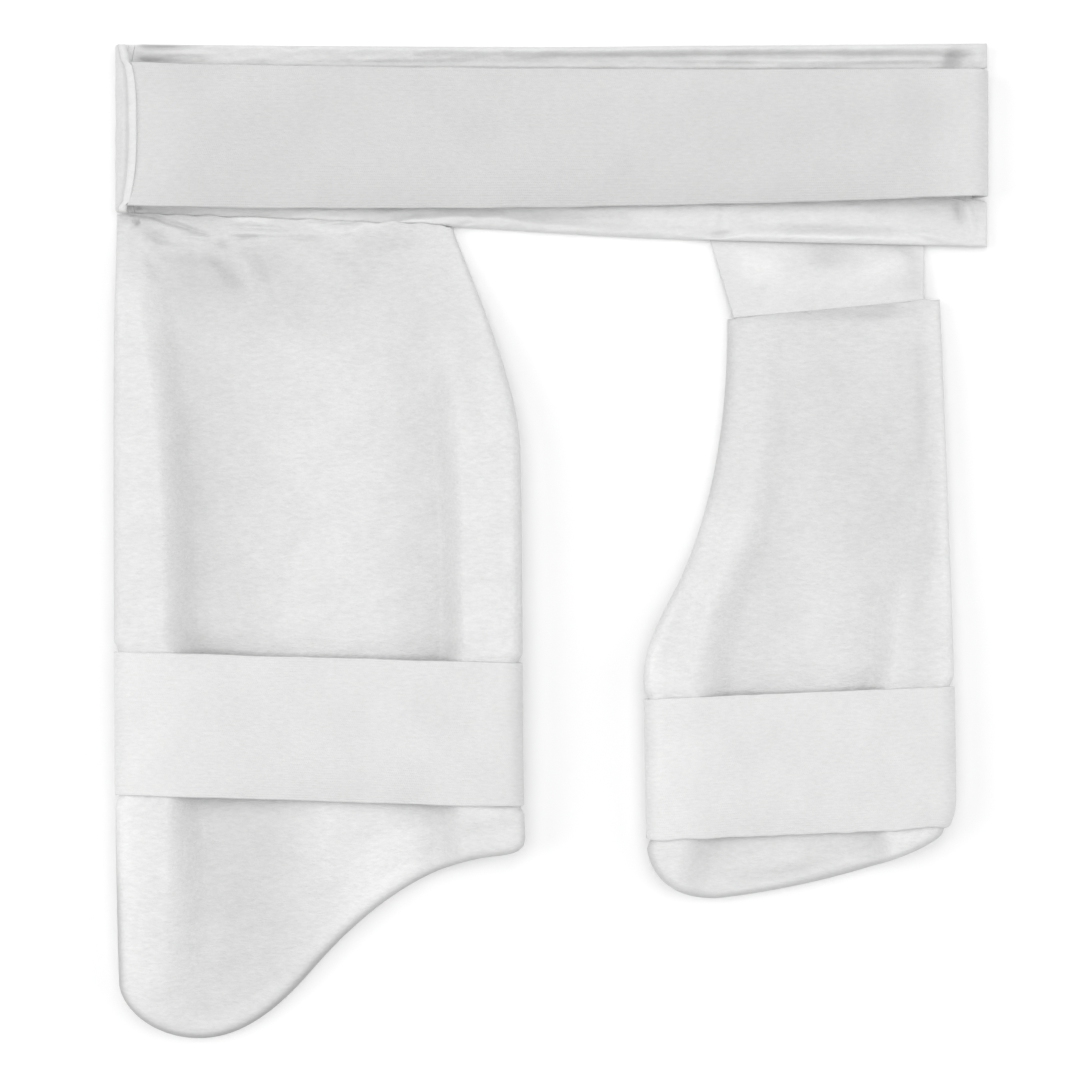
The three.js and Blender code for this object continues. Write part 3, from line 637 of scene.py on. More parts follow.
def hat(fine, coarse_count):
    """Weights that read a net of evenly spaced lines at any shares, in straight steps between the lines."""
    coarse = np.linspace(0, 1, coarse_count)
    return np.clip(1 - np.abs(fine[:, None] - coarse[None, :]) * (coarse_count - 1), 0, 1)


def weigh(rows, net, columns):
    """A net read at other rows and columns: its points summed with the weights of each."""
    return np.einsum("ri,ijk,cj->rck", rows, net, columns)


def net_at(pad, shares_down, shares_across):
    """The pad's plan net, read at shares of its length and of its width."""
    return weigh(hat(shares_down, net_rows), pad["net"], hat(shares_across, net_columns))


print("a pad's net has", net_rows, "rows and", net_columns, "columns")

# %% The two pads' sizes
outer = {
    "width": 206.2, "length": 413.0, "recess": 15.0, "crown": 4.0, "wing": 12.5, "lift": 12.0,
    "radius": 6.5, "bevel_width": 24.0, "bevel_drop": 5.0, "seam": 4.6, "lean": 2.2,
    "fine_rows": 22.0, "corner": 0.0, "droop": 3.6, "rim_shade": 2.0,
    "strap_width": 71.3, "strap_distance": 218.6, "strap_fall": 6.0, "tail": 26.0, "tape": 22.0,
}
inner = {
    "width": 156.5, "length": 300.0, "recess": 13.0, "crown": 3.0, "wing": 9.5, "lift": 10.0,
    "radius": 5.5, "bevel_width": 16.0, "bevel_drop": 3.0, "seam": 6.4, "lean": 1.7,
    "fine_rows": 12.0, "corner": 1.8, "droop": 2.4, "rim_shade": 1.0,
    "strap_width": 70.2, "strap_distance": 199.6, "strap_fall": -6.4, "tail": 18.0, "tape": 16.0,
}
outer["left"], outer["top"] = plan_box("outer_pad")[:2]
inner["left"], inner["top"] = plan_box("inner_pad")[2] - inner["width"], plan_box("inner_pad")[1]

outer_left = bezier_side(outer, [[0, 0], [0, 0.31], [0, 0.66], [0.012, 0.933]], net_rows)
outer_right = bezier_side(
    outer,
    [
        [0.8145, 0.016], [0.88, 0.1], [0.977, 0.209], [0.982, 0.2875],
        [0.989, 0.421], [0.986, 0.681], [0.994, 0.755],
    ],
    net_rows,
)
outer_lower = bezier_side(
    outer,
    [
        [0.012, 0.933], [0.02, 0.966], [0.1, 1], [0.205, 1],
        [0.314, 1], [0.404, 0.958], [0.472, 0.919],
        [0.557, 0.87], [0.72, 0.786], [0.933, 0.777],
        [0.977, 0.774], [0.994, 0.769], [0.994, 0.755],
    ],
    net_columns,
)
seam_x = np.linspace(0, outer_right[0, 0], net_columns)
outer_top = np.stack([seam_x, hem_y(seam_x) + seam_gap - outer["top"]], -1)
outer["sides"] = outer_top, outer_right, outer_lower, outer_left

inner_left = bezier_side(
    inner,
    [
        [0.275, 0.033], [0.275, 0.203], [0.227, 0.37], [0.086, 0.503],
        [0.035, 0.552], [0.002, 0.59], [0.004, 0.64],
        [0.008, 0.7], [0.012, 0.837], [0.013, 0.903],
    ],
    net_rows,
)
inner_right = bezier_side(inner, [[0.955, 0], [0.965, 0.203], [0.997, 0.57], [1, 0.842]], net_rows)
inner_lower = bezier_side(
    inner,
    [
        [0.013, 0.903], [0.019, 0.962], [0.099, 1], [0.236, 1],
        [0.412, 0.992], [0.78, 0.952], [0.923, 0.905],
        [0.968, 0.89], [0.997, 0.873], [1, 0.842],
    ],
    net_columns,
)
inner_top = blend(inner_left[0], inner_right[0], np.linspace(0, 1, net_columns)[:, None])
inner["sides"] = inner_top, inner_right, inner_lower, inner_left

for pad in (outer, inner):
    pad["net"] = plan_net(pad["sides"], net_rows, net_columns)
    top, right, lower, left = pad["sides"]
    pad["outline"] = np.concatenate([top[::3], right[::2], lower[::-1], left[::-2]])
print("outer net:", outer["net"].shape, "inner net:", inner["net"].shape)

# %% [markdown]
# ## Sections of the pads
#
# Across each pad runs a wing, a valley, a low crown, a valley and a second wing. Their places and heights
# change from the waist to the lower edge, so tables hold one section a row: places as shares of the width,
# and heights as shares of the full ones. The strap squeezes the pad under it a little. Gathers and dents
# where the cover is drawn into the waist seam are folds on the plan, like the panel's, and so are the
# patches of painted shade and painted highlight.

# %% Tables of the pads
section_columns = "along left_crest left_valley right_valley right_crest left_wing right_wing crown skew body"
outer["sections"] = table(
    section_columns,
    [0, 0.05, 0.12, 0.72, 0.82, 0, 0, 0, 0, 0],
    [0.06, 0.05, 0.13, 0.73, 0.82, 0.35, 0.02, 0.2, 0.1, 0.45],
    [0.12, 0.06, 0.15, 0.74, 0.83, 0.7, 0.15, 0.5, 0.2, 0.85],
    [0.24, 0.095, 0.185, 0.76, 0.84, 0.9, 0.75, 0.85, 0.35, 1],
    [0.4, 0.118, 0.205, 0.785, 0.85, 1, 1, 1, 0.3, 1],
    [0.66, 0.122, 0.212, 0.785, 0.855, 1, 1, 1, 0.3, 1],
    [0.78, 0.126, 0.225, 0.77, 0.85, 1, 0.6, 1.2, 1.0, 1],
    [0.92, 0.11, 0.24, 0.8, 0.88, 0.7, 0.7, 0.9, 1.0, 0.95],
    [1, 0.06, 0.24, 0.8, 0.88, 0.2, 0.8, 0.3, 0.5, 0.8],
)
inner["sections"] = table(
    section_columns,
    [0, 0.36, 0.45, 0.83, 0.92, 0, 0, 0, 0, 0.2],
    [0.08, 0.37, 0.45, 0.85, 0.92, 0.2, 0.2, 0.3, -0.5, 0.75],
    [0.25, 0.36, 0.46, 0.855, 0.925, 0.28, 0.3, 0.5, -0.7, 1],
    [0.4, 0.3, 0.41, 0.79, 0.87, 0.5, 0.45, 0.8, -0.3, 1],
    [0.55, 0.175, 0.32, 0.725, 0.815, 0.95, 0.85, 1, 0.2, 1],
    [0.85, 0.125, 0.25, 0.725, 0.795, 1, 0.9, 1, 0.2, 1],
    [1, 0.09, 0.21, 0.73, 0.8, 0.5, 0.6, 0.4, 0, 0.85],
)
outer["folds"] = fold_table(
    [53, 89.6, 80, 89.8, 2.2, 1.8],
    [55, 92.3, 86, 93.8, 0.9, -1.6],
    [57, 95.2, 88, 95.6, 1.5, 1.4],
    [58, 97.2, 71, 97.4, 0.9, -1.5],
    [84, 90.4, 112, 89.8, 1.8, 1.5],
    [97, 92.2, 119, 91.6, 0.8, -1.4],
    [102, 94.9, 117, 95, 1.9, 1.7],
    [84, 97, 104, 98.2, 1.1, -0.9],
    [5, 87.2, 24, 89.4, 0.9, -1.5],
    [18, 88.6, 46, 95.6, 0.9, -2],
    [33, 96.6, 45, 97.4, 1.4, 1.8],
    [3.5, 92.4, 9.5, 91, 2.2, 1.6],
    [9.6, 89.9, 11.2, 90.8, 1.3, -2.8],
    [13.5, 93.5, 26, 99.5, 2.8, -2],
    [16, 108, 21.5, 120, 2.8, -1.3],
    [50.5, 99.6, 56, 100.8, 1.5, -1.5],
    [51, 110, 62.5, 123, 3.6, -1.7],
    [44, 107, 54, 112, 2.4, -1.2],
    [70, 105, 77.5, 124, 3.2, -1],
    [62, 103, 70, 128, 2.8, 1],
    [14, 106, 48, 109, 4, -0.8],
    [25, 102.5, 46, 102.8, 1.6, 0.7],
    [86, 104, 118, 116, 5, 0.8, 0.3],
    [122, 101, 160, 98.5, 3.4, -1.1],
    [110, 104, 128, 122, 3, -0.6],
)
inner["folds"] = fold_table(
    [314, 137, 398, 133.5, 5, -2.4, 0.4],
    [368, 136, 396, 135, 3.4, -1.2],
    [399, 126.8, 402.5, 127.6, 1.2, -1.4],
    [309, 421, 368, 412, 3.6, -2],
    [302, 426.5, 408, 402, 2.4, 1.6],
)
# Patches of painted shade, where the rise is above zero, and painted highlight, where it is below, on each
# pad in the folds' form.
outer["tones"] = fold_table(
    [38, 96, 41, 310, 13, 0.3],
    [24, 104, 150, 104, 20, 0.4],
    [34, 130, 140, 130, 20, 0.3],
    [18, 112, 60, 124, 12, 0.35],
    [62, 140, 62, 330, 20, 0.24],
    [146, 150, 148, 330, 10, 0.2],
    [56, 368, 56, 462, 16, 0.3],
    [82, 368, 74, 448, 16, 0.42],
    [110, 440, 156, 390, 13, -0.7],
    [2, 320, 8, 480, 10, -0.5],
    [56, 89, 84, 92, 3.4, -0.6],
    [94, 91, 118, 93, 3.4, -0.5],
)
inner["tones"] = fold_table(
    [350, 132, 380, 280, 34, 0.32],
    [399, 210, 402, 340, 8, 0.35],
    [266, 280, 262, 340, 9, -0.6],
    [330, 250, 335, 350, 20, 0.26],
    [309, 132, 298, 228, 5, 0.55],
    [402, 136, 403, 222, 4, 0.45],
    [414, 130, 417, 320, 3.4, -0.5],
)
print(len(outer["folds"]["x0"]), "folds on the outer pad,", len(inner["folds"]["x0"]), "on the inner one")

# %% Parts of a section
def rim_distance(pad, x, y):
    """Distance from pad points to the nearest stretch of its outline."""
    nearest = np.full(np.shape(x), np.inf)
    for start, end in zip(pad["outline"], np.roll(pad["outline"], -1, axis=0)):
        run = end - start
        share = np.clip(((x - start[0]) * run[0] + (y - start[1]) * run[1]) / max(run @ run, 1e-9), 0, 1)
        nearest = np.minimum(nearest, np.hypot(x - start[0] - share * run[0], y - start[1] - share * run[1]))
    return nearest


def into_strap(pad, x, y):
    """How far pad points lie below the upper edge of the pad's strap, which falls to one side."""
    return y - pad["strap_distance"] - pad["strap_fall"] * x / pad["width"]


def pad_section(pad, x, y):
    """The parts of a pad's section, each from 0 to about 1: its two wings, its crown, which leans to one side
    by its skew, and its body, which grows from the top seam."""
    along = y / pad["length"]
    across = x / pad["width"]
    crest_left, valley_left, valley_right, crest_right, wing_left, wing_right, crown, skew, body = (
        read(pad["sections"], name, along) for name in section_columns.split()[1:]
    )
    left = 1 - smooth(across, crest_left, valley_left)
    right = smooth(across, valley_right, crest_right)
    from_centre = (2 * across - valley_left - valley_right) / (valley_right - valley_left)
    crown = crown * np.maximum(0, 1 - from_centre**2) * (1 + skew * from_centre) / (1 + 0.25 * skew**2)
    return left, np.clip(wing_left, 0, 1), right, np.clip(wing_right, 0, 1), crown, np.clip(body, 0, 1)


def under_strap(pad, x, y, soft=5.0):
    """1 under the pad's strap and 0 away from it, with a soft step outside each of its edges."""
    into = into_strap(pad, x, y)
    return smooth(into, -soft, 0) * (1 - smooth(into, pad["strap_width"], pad["strap_width"] + soft))


def pad_folds(pad, x, y):
    """Height of a pad's own folds and of those that run across the waist seam."""
    places = pad["left"] + x, pad["top"] + y
    return fold_height(pad["folds"], *places) + fold_height(seam_folds, *places)


crown_place = np.array([103.0]), np.array([180.0])
print("outer rim is", np.round(rim_distance(outer, *crown_place), 1), "mm from the crown")


# %% Shade of a pad
def pad_shade(pad, x, y):
    """Painted shade of a pad's cover: greyest in the two valleys, less on the crown, none on the wings, and a
    thin painted shadow line along each edge of the strap. Folds, patches of painted shade and highlight, and
    painted shade along the turned rim add theirs."""
    left, wing_left, right, wing_right, crown, body = pad_section(pad, x, y)
    raised = np.maximum(left * np.minimum(1, 2 * wing_left), right * wing_right**0.6)
    painted_valley_shade = (1 - raised) * (1 - 0.75 * np.clip(crown, 0, 1)) * blend(0.4, 1.0, body)
    # Painted shadow: a thin line just outside each edge of the strap, where it bridges the recess.
    into = into_strap(pad, x, y)
    beyond = into - pad["strap_width"]
    edges = hump(into, -0.6, 1.1) + 0.3 * hump(beyond, 0.4, 1.0)
    fold = pad_folds(pad, x, y)
    patches = fold_height(pad["tones"], pad["left"] + x, pad["top"] + y)
    # Painted shade along the rim, wider and greyer towards the lower edges.
    low = smooth(y / pad["length"], 0.7, 0.86)
    rim = hump(rim_distance(pad, x, y), 0, blend(1.6, 2.6, low)) * blend(0.3, pad["rim_shade"], low)
    return 0.46 * painted_valley_shade + 0.6 * edges * (1 - raised) + painted_crease_shade(fold) + patches + rim


print("outer crown's shade:", np.round(pad_shade(outer, *crown_place), 2))

# %% Heights of a pad
flat_share = 0.3
lift_power = 1.5
seam_radius = 1.4
strap_squeeze = 2.1
strap_dip = 1.3


def pad_faces(pad, x, y):
    """Heights of a pad's two faces. The wearer's face is the recess, its crown and the two wings, less a
    bevel along the rim. The outer face is flat in the middle and lifts towards the sides. Both meet at the
    rim in a quarter circle. Returns the squeezed plan place and both heights."""
    across = x / pad["width"]
    left, wing_left, right, wing_right, crown, body = pad_section(pad, x, y)
    wing = left * wing_left + right * wing_right
    distance = rim_distance(pad, x, y)
    pressed = under_strap(pad, x, y)
    bevel = pad["bevel_drop"] * (1 - np.clip(wing, 0, 1)) * (1 - smooth(distance, 0, pad["bevel_width"]))
    full = pad["recess"] + pad["crown"] * crown + (pad["wing"] - strap_dip * pressed) * wing - bevel
    upper = blend(pad["seam"], full, body) + pad_folds(pad, x, y)
    lifted = np.clip((np.abs(2 * across - 1) - flat_share) / (1 - flat_share), 0, 1)
    lower = pad["lift"] * body * lifted**lift_power
    radius = np.minimum(pad["radius"], np.maximum(upper - lower, 0.5) / 2)
    rim = rounded(distance, blend(seam_radius, radius, smooth(body, 0.1, 0.6)))
    middle = (upper + lower) / 2
    squeezed = x + strap_squeeze * pressed * (1 - 2 * across)
    return squeezed, blend(middle, upper, rim), blend(middle, lower, rim)


print("outer pad is", np.round(pad_faces(outer, *crown_place)[1], 1), "mm at its crown")

# %% [markdown]
# ## Swelling the pads
#
# A padded cover isn't a drawn surface: foam pushes it out everywhere but at its seams. Blender's Cloth does
# that with a pressure from inside, while the rim is pinned. It runs on a coarse net of the pad, about 5 mm
# apart, for twenty frames without gravity. The movement is capped, kept away from the strap, and carried over
# to the fine net as a smooth field. The fine net started a little too thin, to leave room for it.

# %% Cloth simulation of a pad
swell_cap = 2.4
swell_room = 1.2
simulated_frames = 20


def simulated_movement(pad, shares_down, shares_across):
    """Movement of a coarse net's two faces, in millimetres, when cloth pinned at the rim is blown up from
    inside."""
    plan = net_at(pad, shares_down, shares_across)
    x, upper, lower = pad_faces(pad, plan[..., 0], plan[..., 1])
    grids = [in_frame(pad["left"] + x, pad["top"] + plan[..., 1], z) for z in (upper, lower)]
    piece = shell("cloth_trial", *grids)
    rows, columns = upper.shape
    border = np.ones((rows, columns), bool)
    border[1:-1, 1:-1] = False
    piece.vertex_groups.new(name="rim").add(np.flatnonzero(border).tolist(), 1.0, "REPLACE")
    cloth = piece.modifiers.new("cover", "CLOTH")
    cloth.settings.quality = 6
    cloth.settings.mass = 0.25
    cloth.settings.tension_stiffness = 12
    cloth.settings.compression_stiffness = 12
    cloth.settings.bending_stiffness = 0.6
    cloth.settings.use_pressure = True
    cloth.settings.uniform_pressure_force = 4
    cloth.settings.vertex_group_mass = "rim"
    cloth.settings.effector_weights.gravity = 0
    cloth.point_cache.frame_end = simulated_frames
    for number in range(1, simulated_frames + 1):
        scene.frame_set(number)
    blown = piece.evaluated_get(bpy.context.evaluated_depsgraph_get()).to_mesh()
    after = np.empty(len(piece.data.vertices) * 3)
    blown.vertices.foreach_get("co", after)
    before = np.empty_like(after)
    piece.data.vertices.foreach_get("co", before)
    move = (after - before).reshape(-1, 3) / MM
    bpy.data.objects.remove(piece)
    scene.frame_set(1)
    faces = np.zeros((2, rows, columns, 3))
    faces[0] = move[: rows * columns].reshape(rows, columns, 3)
    faces[1, 1:-1, 1:-1] = move[rows * columns :].reshape(rows - 2, columns - 2, 3)
    print("cloth moved by up to", round(float(np.linalg.norm(move, axis=1).max()), 1), "mm")
    return faces


def bell(fine, coarse):
    """Weights that read a coarse net smoothly at fine shares: a bell curve one coarse step wide."""
    weight = hump(fine[:, None], coarse[None, :], 1 / (len(coarse) - 1))
    return weight / weight.sum(1, keepdims=True)


print("a pad may keep up to", swell_cap, "mm of its cloth's movement")

# %% Building a pad
def thigh_pad(name, pad, columns, rows, seed):
    """A pad's shell: its two faces over the net, moved as the simulated cloth moved, with small waves of the
    cover on top. What would sink below the ground lies flat on it."""
    shares_across = edged(pad["width"], pad["radius"], columns)
    shares_down = edged(pad["length"], pad["radius"], rows)
    at_seam = steps(1, pad["fine_rows"], int(2 * pad["fine_rows"])) / pad["length"]
    shares_down = np.union1d(shares_down, at_seam)
    plan = net_at(pad, shares_down, shares_across)
    across, down = plan[..., 0], plan[..., 1]
    x, upper, lower = pad_faces(pad, across, down)
    free = 1 - under_strap(pad, across, down, 14.0)
    inside = smooth(rim_distance(pad, across, down), 0, 12)
    upper = upper - swell_room * free * inside
    sampled = [np.stack([x, -down, face], -1) for face in (upper, lower)]
    coarse_down = steps(0, 1, int(pad["length"] / 5))
    coarse_across = steps(0, 1, int(pad["width"] / 5))
    for face, move in zip(sampled, simulated_movement(pad, coarse_down, coarse_across)):
        spread = weigh(bell(shares_down, coarse_down), move, bell(shares_across, coarse_across))
        size = np.linalg.norm(spread, axis=2, keepdims=True) + 1e-9
        capped = spread * swell_cap * np.tanh(size / swell_cap) / size
        face += capped * (free * inside)[..., None]
    small = 0.16 * waves(x, down, 7.0, 2.2, seed) + 0.3 * waves(x, down, 24.0, 1.4, seed + 1)
    sampled[0][..., 2] += small * inside
    from_top, from_left = line_lengths(plan)
    uneven = 1 + 0.25 * waves(x, 0 * x, 12.0, 1.0, seed + 2)
    lean = pad["lean"] * uneven * np.exp(1 - from_top / 1.6) * from_top / 1.6
    sampled[0][..., 1] += lean * smooth(np.minimum(from_left, from_left[:, -1:] - from_left), 0, 7)
    grids = [
        in_frame(pad["left"] + face[..., 0], pad["top"] - face[..., 1], np.maximum(face[..., 2], 0))
        for face in sampled
    ]
    return shell(name, *grids, pad_shade(pad, across, down))


outer_pad = thigh_pad("outer_pad_cover", outer, 170, 176, 31)
inner_pad = thigh_pad("inner_pad_cover", inner, 110, 150, 41)

# %% [markdown]
# ## Thigh straps
#
# A strap that is pulled tight round a pad bridges its hollows, so its line is the convex hull of the pad's
# section. The hull is found with directions: in each direction the section's furthest point lies on it. The
# strap is sewn to one rim, crosses both wings, turns round the other rim and ends underneath, where a strip
# of hook tape closes it. Between the wings nothing holds its two edges up, so they droop a little.

# %% The course of a thigh strap
strap_gap = 0.5
strap_thickness = 1.8
strap_rows, strap_columns = 40, 170
tape_thickness = 1.2
tape_rows, tape_columns = 30, 16
tape_margin = 3.0
tape_gap = 0.8


def side_at(pad, number, y):
    """How far across one of the pad's long sides lies at a place down it. The right one goes on round the
    lower corner, because the inner strap reaches down to there."""
    side = pad["sides"][number]
    if number == 1:
        lower = pad["sides"][2]
        side = np.concatenate([side, lower[lower[:, 0] > 0.93 * pad["width"]]])
    side = side[np.argsort(side[:, 1])]
    return np.interp(y, side[:, 1], side[:, 0])


def hull_course(pad, down, sewn_left):
    """The hull round a pad's sections, one row for each place across the strap, from the sewn rim over the
    top to the middle of the underside. Also the direction in which each of its points is furthest."""
    start = pad["strap_distance"] + down[:, None]
    across = (1 - np.cos(np.linspace(0, np.pi, 260)))[None, :] / 2
    y = start + pad["strap_fall"] * across
    x = blend(side_at(pad, 3, y[:, :1]), side_at(pad, 1, y[:, -1:]), across)
    squeezed, upper, lower = pad_faces(pad, x, start + pad["strap_fall"] * x / pad["width"])
    section = np.stack([np.concatenate([squeezed, squeezed], 1), np.concatenate([upper, lower], 1)], -1)
    angle = np.radians(np.concatenate([np.linspace(176, 60, 90), np.linspace(59, -89.5, 110)]))
    if not sewn_left:
        angle = np.pi - angle
    away = np.stack([np.cos(angle), np.sin(angle)], -1)
    furthest = np.argmax(section @ away.T, axis=1)
    return np.take_along_axis(section, furthest[..., None], axis=1), away


def gone_along(course):
    """How far each point lies along its row of a course."""
    return np.pad(np.cumsum(np.linalg.norm(np.diff(course, axis=1), axis=2), axis=1), ((0, 0), (1, 0)))


def points_along(course, places):
    """Points of each row of a course at places along it, in millimetres."""
    return np.array([
        np.stack([np.interp(places, gone, line[:, k]) for k in (0, 1)], -1)
        for line, gone in zip(course, gone_along(course))
    ])


def soften(values, axis, passes):
    """Each value moved towards its neighbours' average a few times, with both ends kept."""
    for _ in range(passes):
        moved = np.moveaxis(values, axis, 0).copy()
        moved[1:-1] = (moved[:-2] + 2 * moved[1:-1] + moved[2:]) / 4
        values = np.moveaxis(moved, 0, axis)
    return values


print("strap thickness", strap_thickness, "mm")

# %% Parts of a thigh strap
def course_grid(pad, line, down):
    """A strap's rows as a grid of frame points: each row's place down the pad, tilted by the strap's fall."""
    y = pad["strap_distance"] + down[:, None] + pad["strap_fall"] * line[..., 0] / pad["width"]
    return in_frame(pad["left"] + line[..., 0], pad["top"] + y, line[..., 1])


def tail_end(pad, hull, away, sewn_left):
    """How far along the hull the strap ends: its tail's length in from the far rim, on the underside."""
    far = hull[..., 0].max() if sewn_left else hull[..., 0].min()
    reach = np.abs(hull[..., 0] - far)
    under = away[:, 1] < 0
    ends = [np.interp(pad["tail"], row[under], gone[under]) for row, gone in zip(reach, gone_along(hull))]
    return np.mean(ends)


def let_loose(pad, middle, place, across, share_down, seed):
    """Moves a strap's middle as elastic gives by itself: both edges wander, the lower corner at the sewn end
    draws in, and both edges droop where no wing holds them up."""
    wander = 0.2 * waves(place, 40 * np.round(share_down), 30.0, 1.0, seed)
    middle[..., 1] -= wander * (2 * share_down - 1) * MM
    middle[..., 1] += pad["corner"] * share_down**4 * (1 - smooth(place, 2, 70)) * MM
    between_wings = smooth(across, 0.14, 0.32) * (1 - smooth(across, 0.66, 0.82))
    middle[..., 2] -= pad["droop"] * np.abs(2 * share_down - 1) ** 3 * between_wings * MM


print("strap edges droop by up to", outer["droop"], "and", inner["droop"], "mm")

# %% Thigh straps
def thigh_strap(pad, name, sewn_left, seed):
    """The strap: its hull, softened, with half its thickness and a gap added outwards. Gives its tail's end
    as well, where the tape goes on."""
    down = pad["strap_width"] * edged(pad["strap_width"], strap_thickness / 2, strap_rows)
    hull, away = hull_course(pad, down, sewn_left)
    tail_place = tail_end(pad, hull, away, sewn_left)
    line = points_along(hull, tail_place * edged(tail_place, strap_thickness / 2, strap_columns))
    line = soften(soften(line, 1, 4), 0, 6)
    middle = course_grid(pad, line, down)
    middle = middle + facing_up(middle, (20, 60)) * (strap_gap + strap_thickness / 2) * MM
    place = 2.0 * np.arange(line.shape[1])[None, :]
    across = line[..., 0] / pad["width"]
    let_loose(pad, middle, place, across, down[:, None] / pad["strap_width"], seed)
    # Painted shade: the strap is painted a little grey, with a painted highlight towards its left end; the
    # small waves are a random change of tone.
    painted_bright_end = 1 - smooth(across, 0, 0.3)
    shade = 0.28 - 0.42 * painted_bright_end + 0.06 * waves(place, 2 * down[:, None], 50.0, 1.0, seed + 1)
    return cloth_shell(name, middle.transpose(1, 0, 2), strap_thickness, shade.T), tail_place


def thigh_tape(pad, name, sewn_left, tail_place):
    """The hook tape: a narrower band on the same hull, from just past the strap's tail."""
    shares = edged(64, tape_thickness / 2, tape_rows)
    down = tape_margin + (pad["strap_width"] - 2 * tape_margin) * shares
    hull, _ = hull_course(pad, down, sewn_left)
    places = pad["tape"] * edged(pad["tape"], tape_thickness / 2, tape_columns)
    line = points_along(hull, tail_place + tape_gap + places)
    middle = course_grid(pad, soften(line, 0, 6), down)
    middle = middle + facing_up(middle, (15, 10), -1) * (strap_gap + tape_thickness / 2) * MM
    return cloth_shell(name, middle.transpose(1, 0, 2), tape_thickness)


outer_strap, outer_end = thigh_strap(outer, "outer_elastic", True, 51)
outer_tape = thigh_tape(outer, "outer_hooks", True, outer_end)
inner_strap, inner_end = thigh_strap(inner, "inner_elastic", False, 52)
inner_tape = thigh_tape(inner, "inner_hooks", False, inner_end)

# %% [markdown]
# ## Tab
#
# The inner pad hangs from the waist panel by a thin cloth tab. It is tucked under the panel's hem above and
# sewn to the pad's top seam below, and it lies with soft ripples, because it is a little wider above.

# %% Tab
tab_thickness = 1.4
tab_tuck = 9.0
tab_bottom_width = 95.0
tab_bottom_shift = 1.0
tab_climb = 2.2
tab_folds = fold_table(
    [306, 106, 334, 116, 7, 1.2, 0.4],
    [332, 124, 372, 121, 5, 1, 0.4],
    [372, 116, 398, 106, 5, 1.3, -0.4],
    [344, 102, 368, 110, 7, -1],
    [388, 101, 404, 108, 3, -1.6],
    [322, 126, 330, 118, 2.6, -0.9],
    [392, 118, 403, 126, 3.4, -1.1],
)
# Patches of painted highlight, where the rise is below zero, and painted shade, where it is above, on the
# tab.
tab_tones = fold_table(
    [308, 104, 332, 121, 9, -0.34],
    [370, 120, 396, 110, 6.5, -0.3],
    [350, 102, 374, 110, 7, 0.3],
    [396, 100, 402, 124, 4, 0.4],
)


def inner_pad_tab():
    """The tab's middle: straight lines from its upper edge to the pad's seam, rising from the ground to the
    seam's height, with its folds and ripples in between."""
    right = panel_length - tab_top_inset
    across = edged(100.0, tab_thickness / 2, 84)[None, :]
    down = edged(45.0, tab_thickness / 2, 44)[:, None]
    top_x = blend(right - tab_top_width, right, across)
    top = blend(hem_y(right - tab_top_width), hem_y(right), across) - tab_tuck
    low_x = blend(right - tab_bottom_shift - tab_bottom_width, right - tab_bottom_shift, across)
    seam = inner_top + [inner["left"], inner["top"]]
    seam_y = np.interp(low_x, seam[:, 0], seam[:, 1]) - seam_gap
    x = blend(top_x, low_x, down)
    y = blend(top, seam_y, down)
    seam_middle = np.array([low_x.mean() - inner["left"]]), np.array([inner_top[:, 1].mean()])
    _, upper, lower = pad_faces(inner, *seam_middle)
    rise = blend(tab_thickness / 2, float((upper + lower)[0]) / 2 + tab_climb, smooth(down, 0.2, 1))
    slack = np.sin(np.pi * down) ** 1.5
    ripple = (fold_height(tab_folds, x, y) + 0.3 * waves(x, y, 14.0, 1.6, 61)) * slack
    z = rise + np.maximum(ripple, -1.2) + 1.0 * slack
    # Painted shade: the tab is painted grey all over and greyer just below the panel's hem, where its shadow
    # falls.
    painted_tab_shade = 0.38 + 0.4 * (1 - smooth(y - hem_y(x), 0, 4))
    shade = painted_crease_shade(1.3 * ripple) + painted_tab_shade + fold_height(tab_tones, x, y)
    return cloth_shell("inner_pad_tab_cloth", in_frame(x, y, z), tab_thickness, shade)


tab = inner_pad_tab()

# %% [markdown]
# ## Finishes
#
# Everything is white, so the finishes differ only in relief: the pads are covered in a brushed knit with
# short streaks, the elastic has fine ribs, and the panel is a smooth knit. The relief goes into bump at a
# real scale, and a small change of tone goes with it. What several finishes share is a node group.

# %% Node helpers
def add(tree, kind, inputs=None, **settings):
    """A shader node with its settings. Its inputs take numbers, or other nodes' outputs, which are linked."""
    made = tree.nodes.new(kind)
    for name, value in settings.items():
        setattr(made, name, value)
    for name, value in (inputs or {}).items():
        if isinstance(value, bpy.types.NodeSocket):
            tree.links.new(value, made.inputs[name])
        else:
            made.inputs[name].default_value = value
    return made


def group(name, inputs, outputs):
    """An empty node group with named sockets: its tree, its input node and its output node."""
    tree = bpy.data.node_groups.new(name, "ShaderNodeTree")
    for way, sockets in (("INPUT", inputs), ("OUTPUT", outputs)):
        for socket, kind in sockets.items():
            tree.interface.new_socket(socket, in_out=way, socket_type="NodeSocket" + kind)
    return tree, tree.nodes.new("NodeGroupInput"), tree.nodes.new("NodeGroupOutput")


def maths(tree, operation, *values):
    """The output of a Math node."""
    return add(tree, "ShaderNodeMath", dict(enumerate(values)), operation=operation).outputs[0]


def scaled_place(tree, place, scale):
    """A place with each of its three coordinates multiplied by the scale's."""
    return add(tree, "ShaderNodeVectorMath", {0: place, 1: scale}, operation="MULTIPLY").outputs[0]


def noise(tree, place, scale, detail, roughness=0.5):
    """The value of a Noise texture, from 0 to 1."""
    inputs = {"Vector": place, "Scale": scale, "Detail": detail, "Roughness": roughness}
    return add(tree, "ShaderNodeTexNoise", inputs).outputs[0]


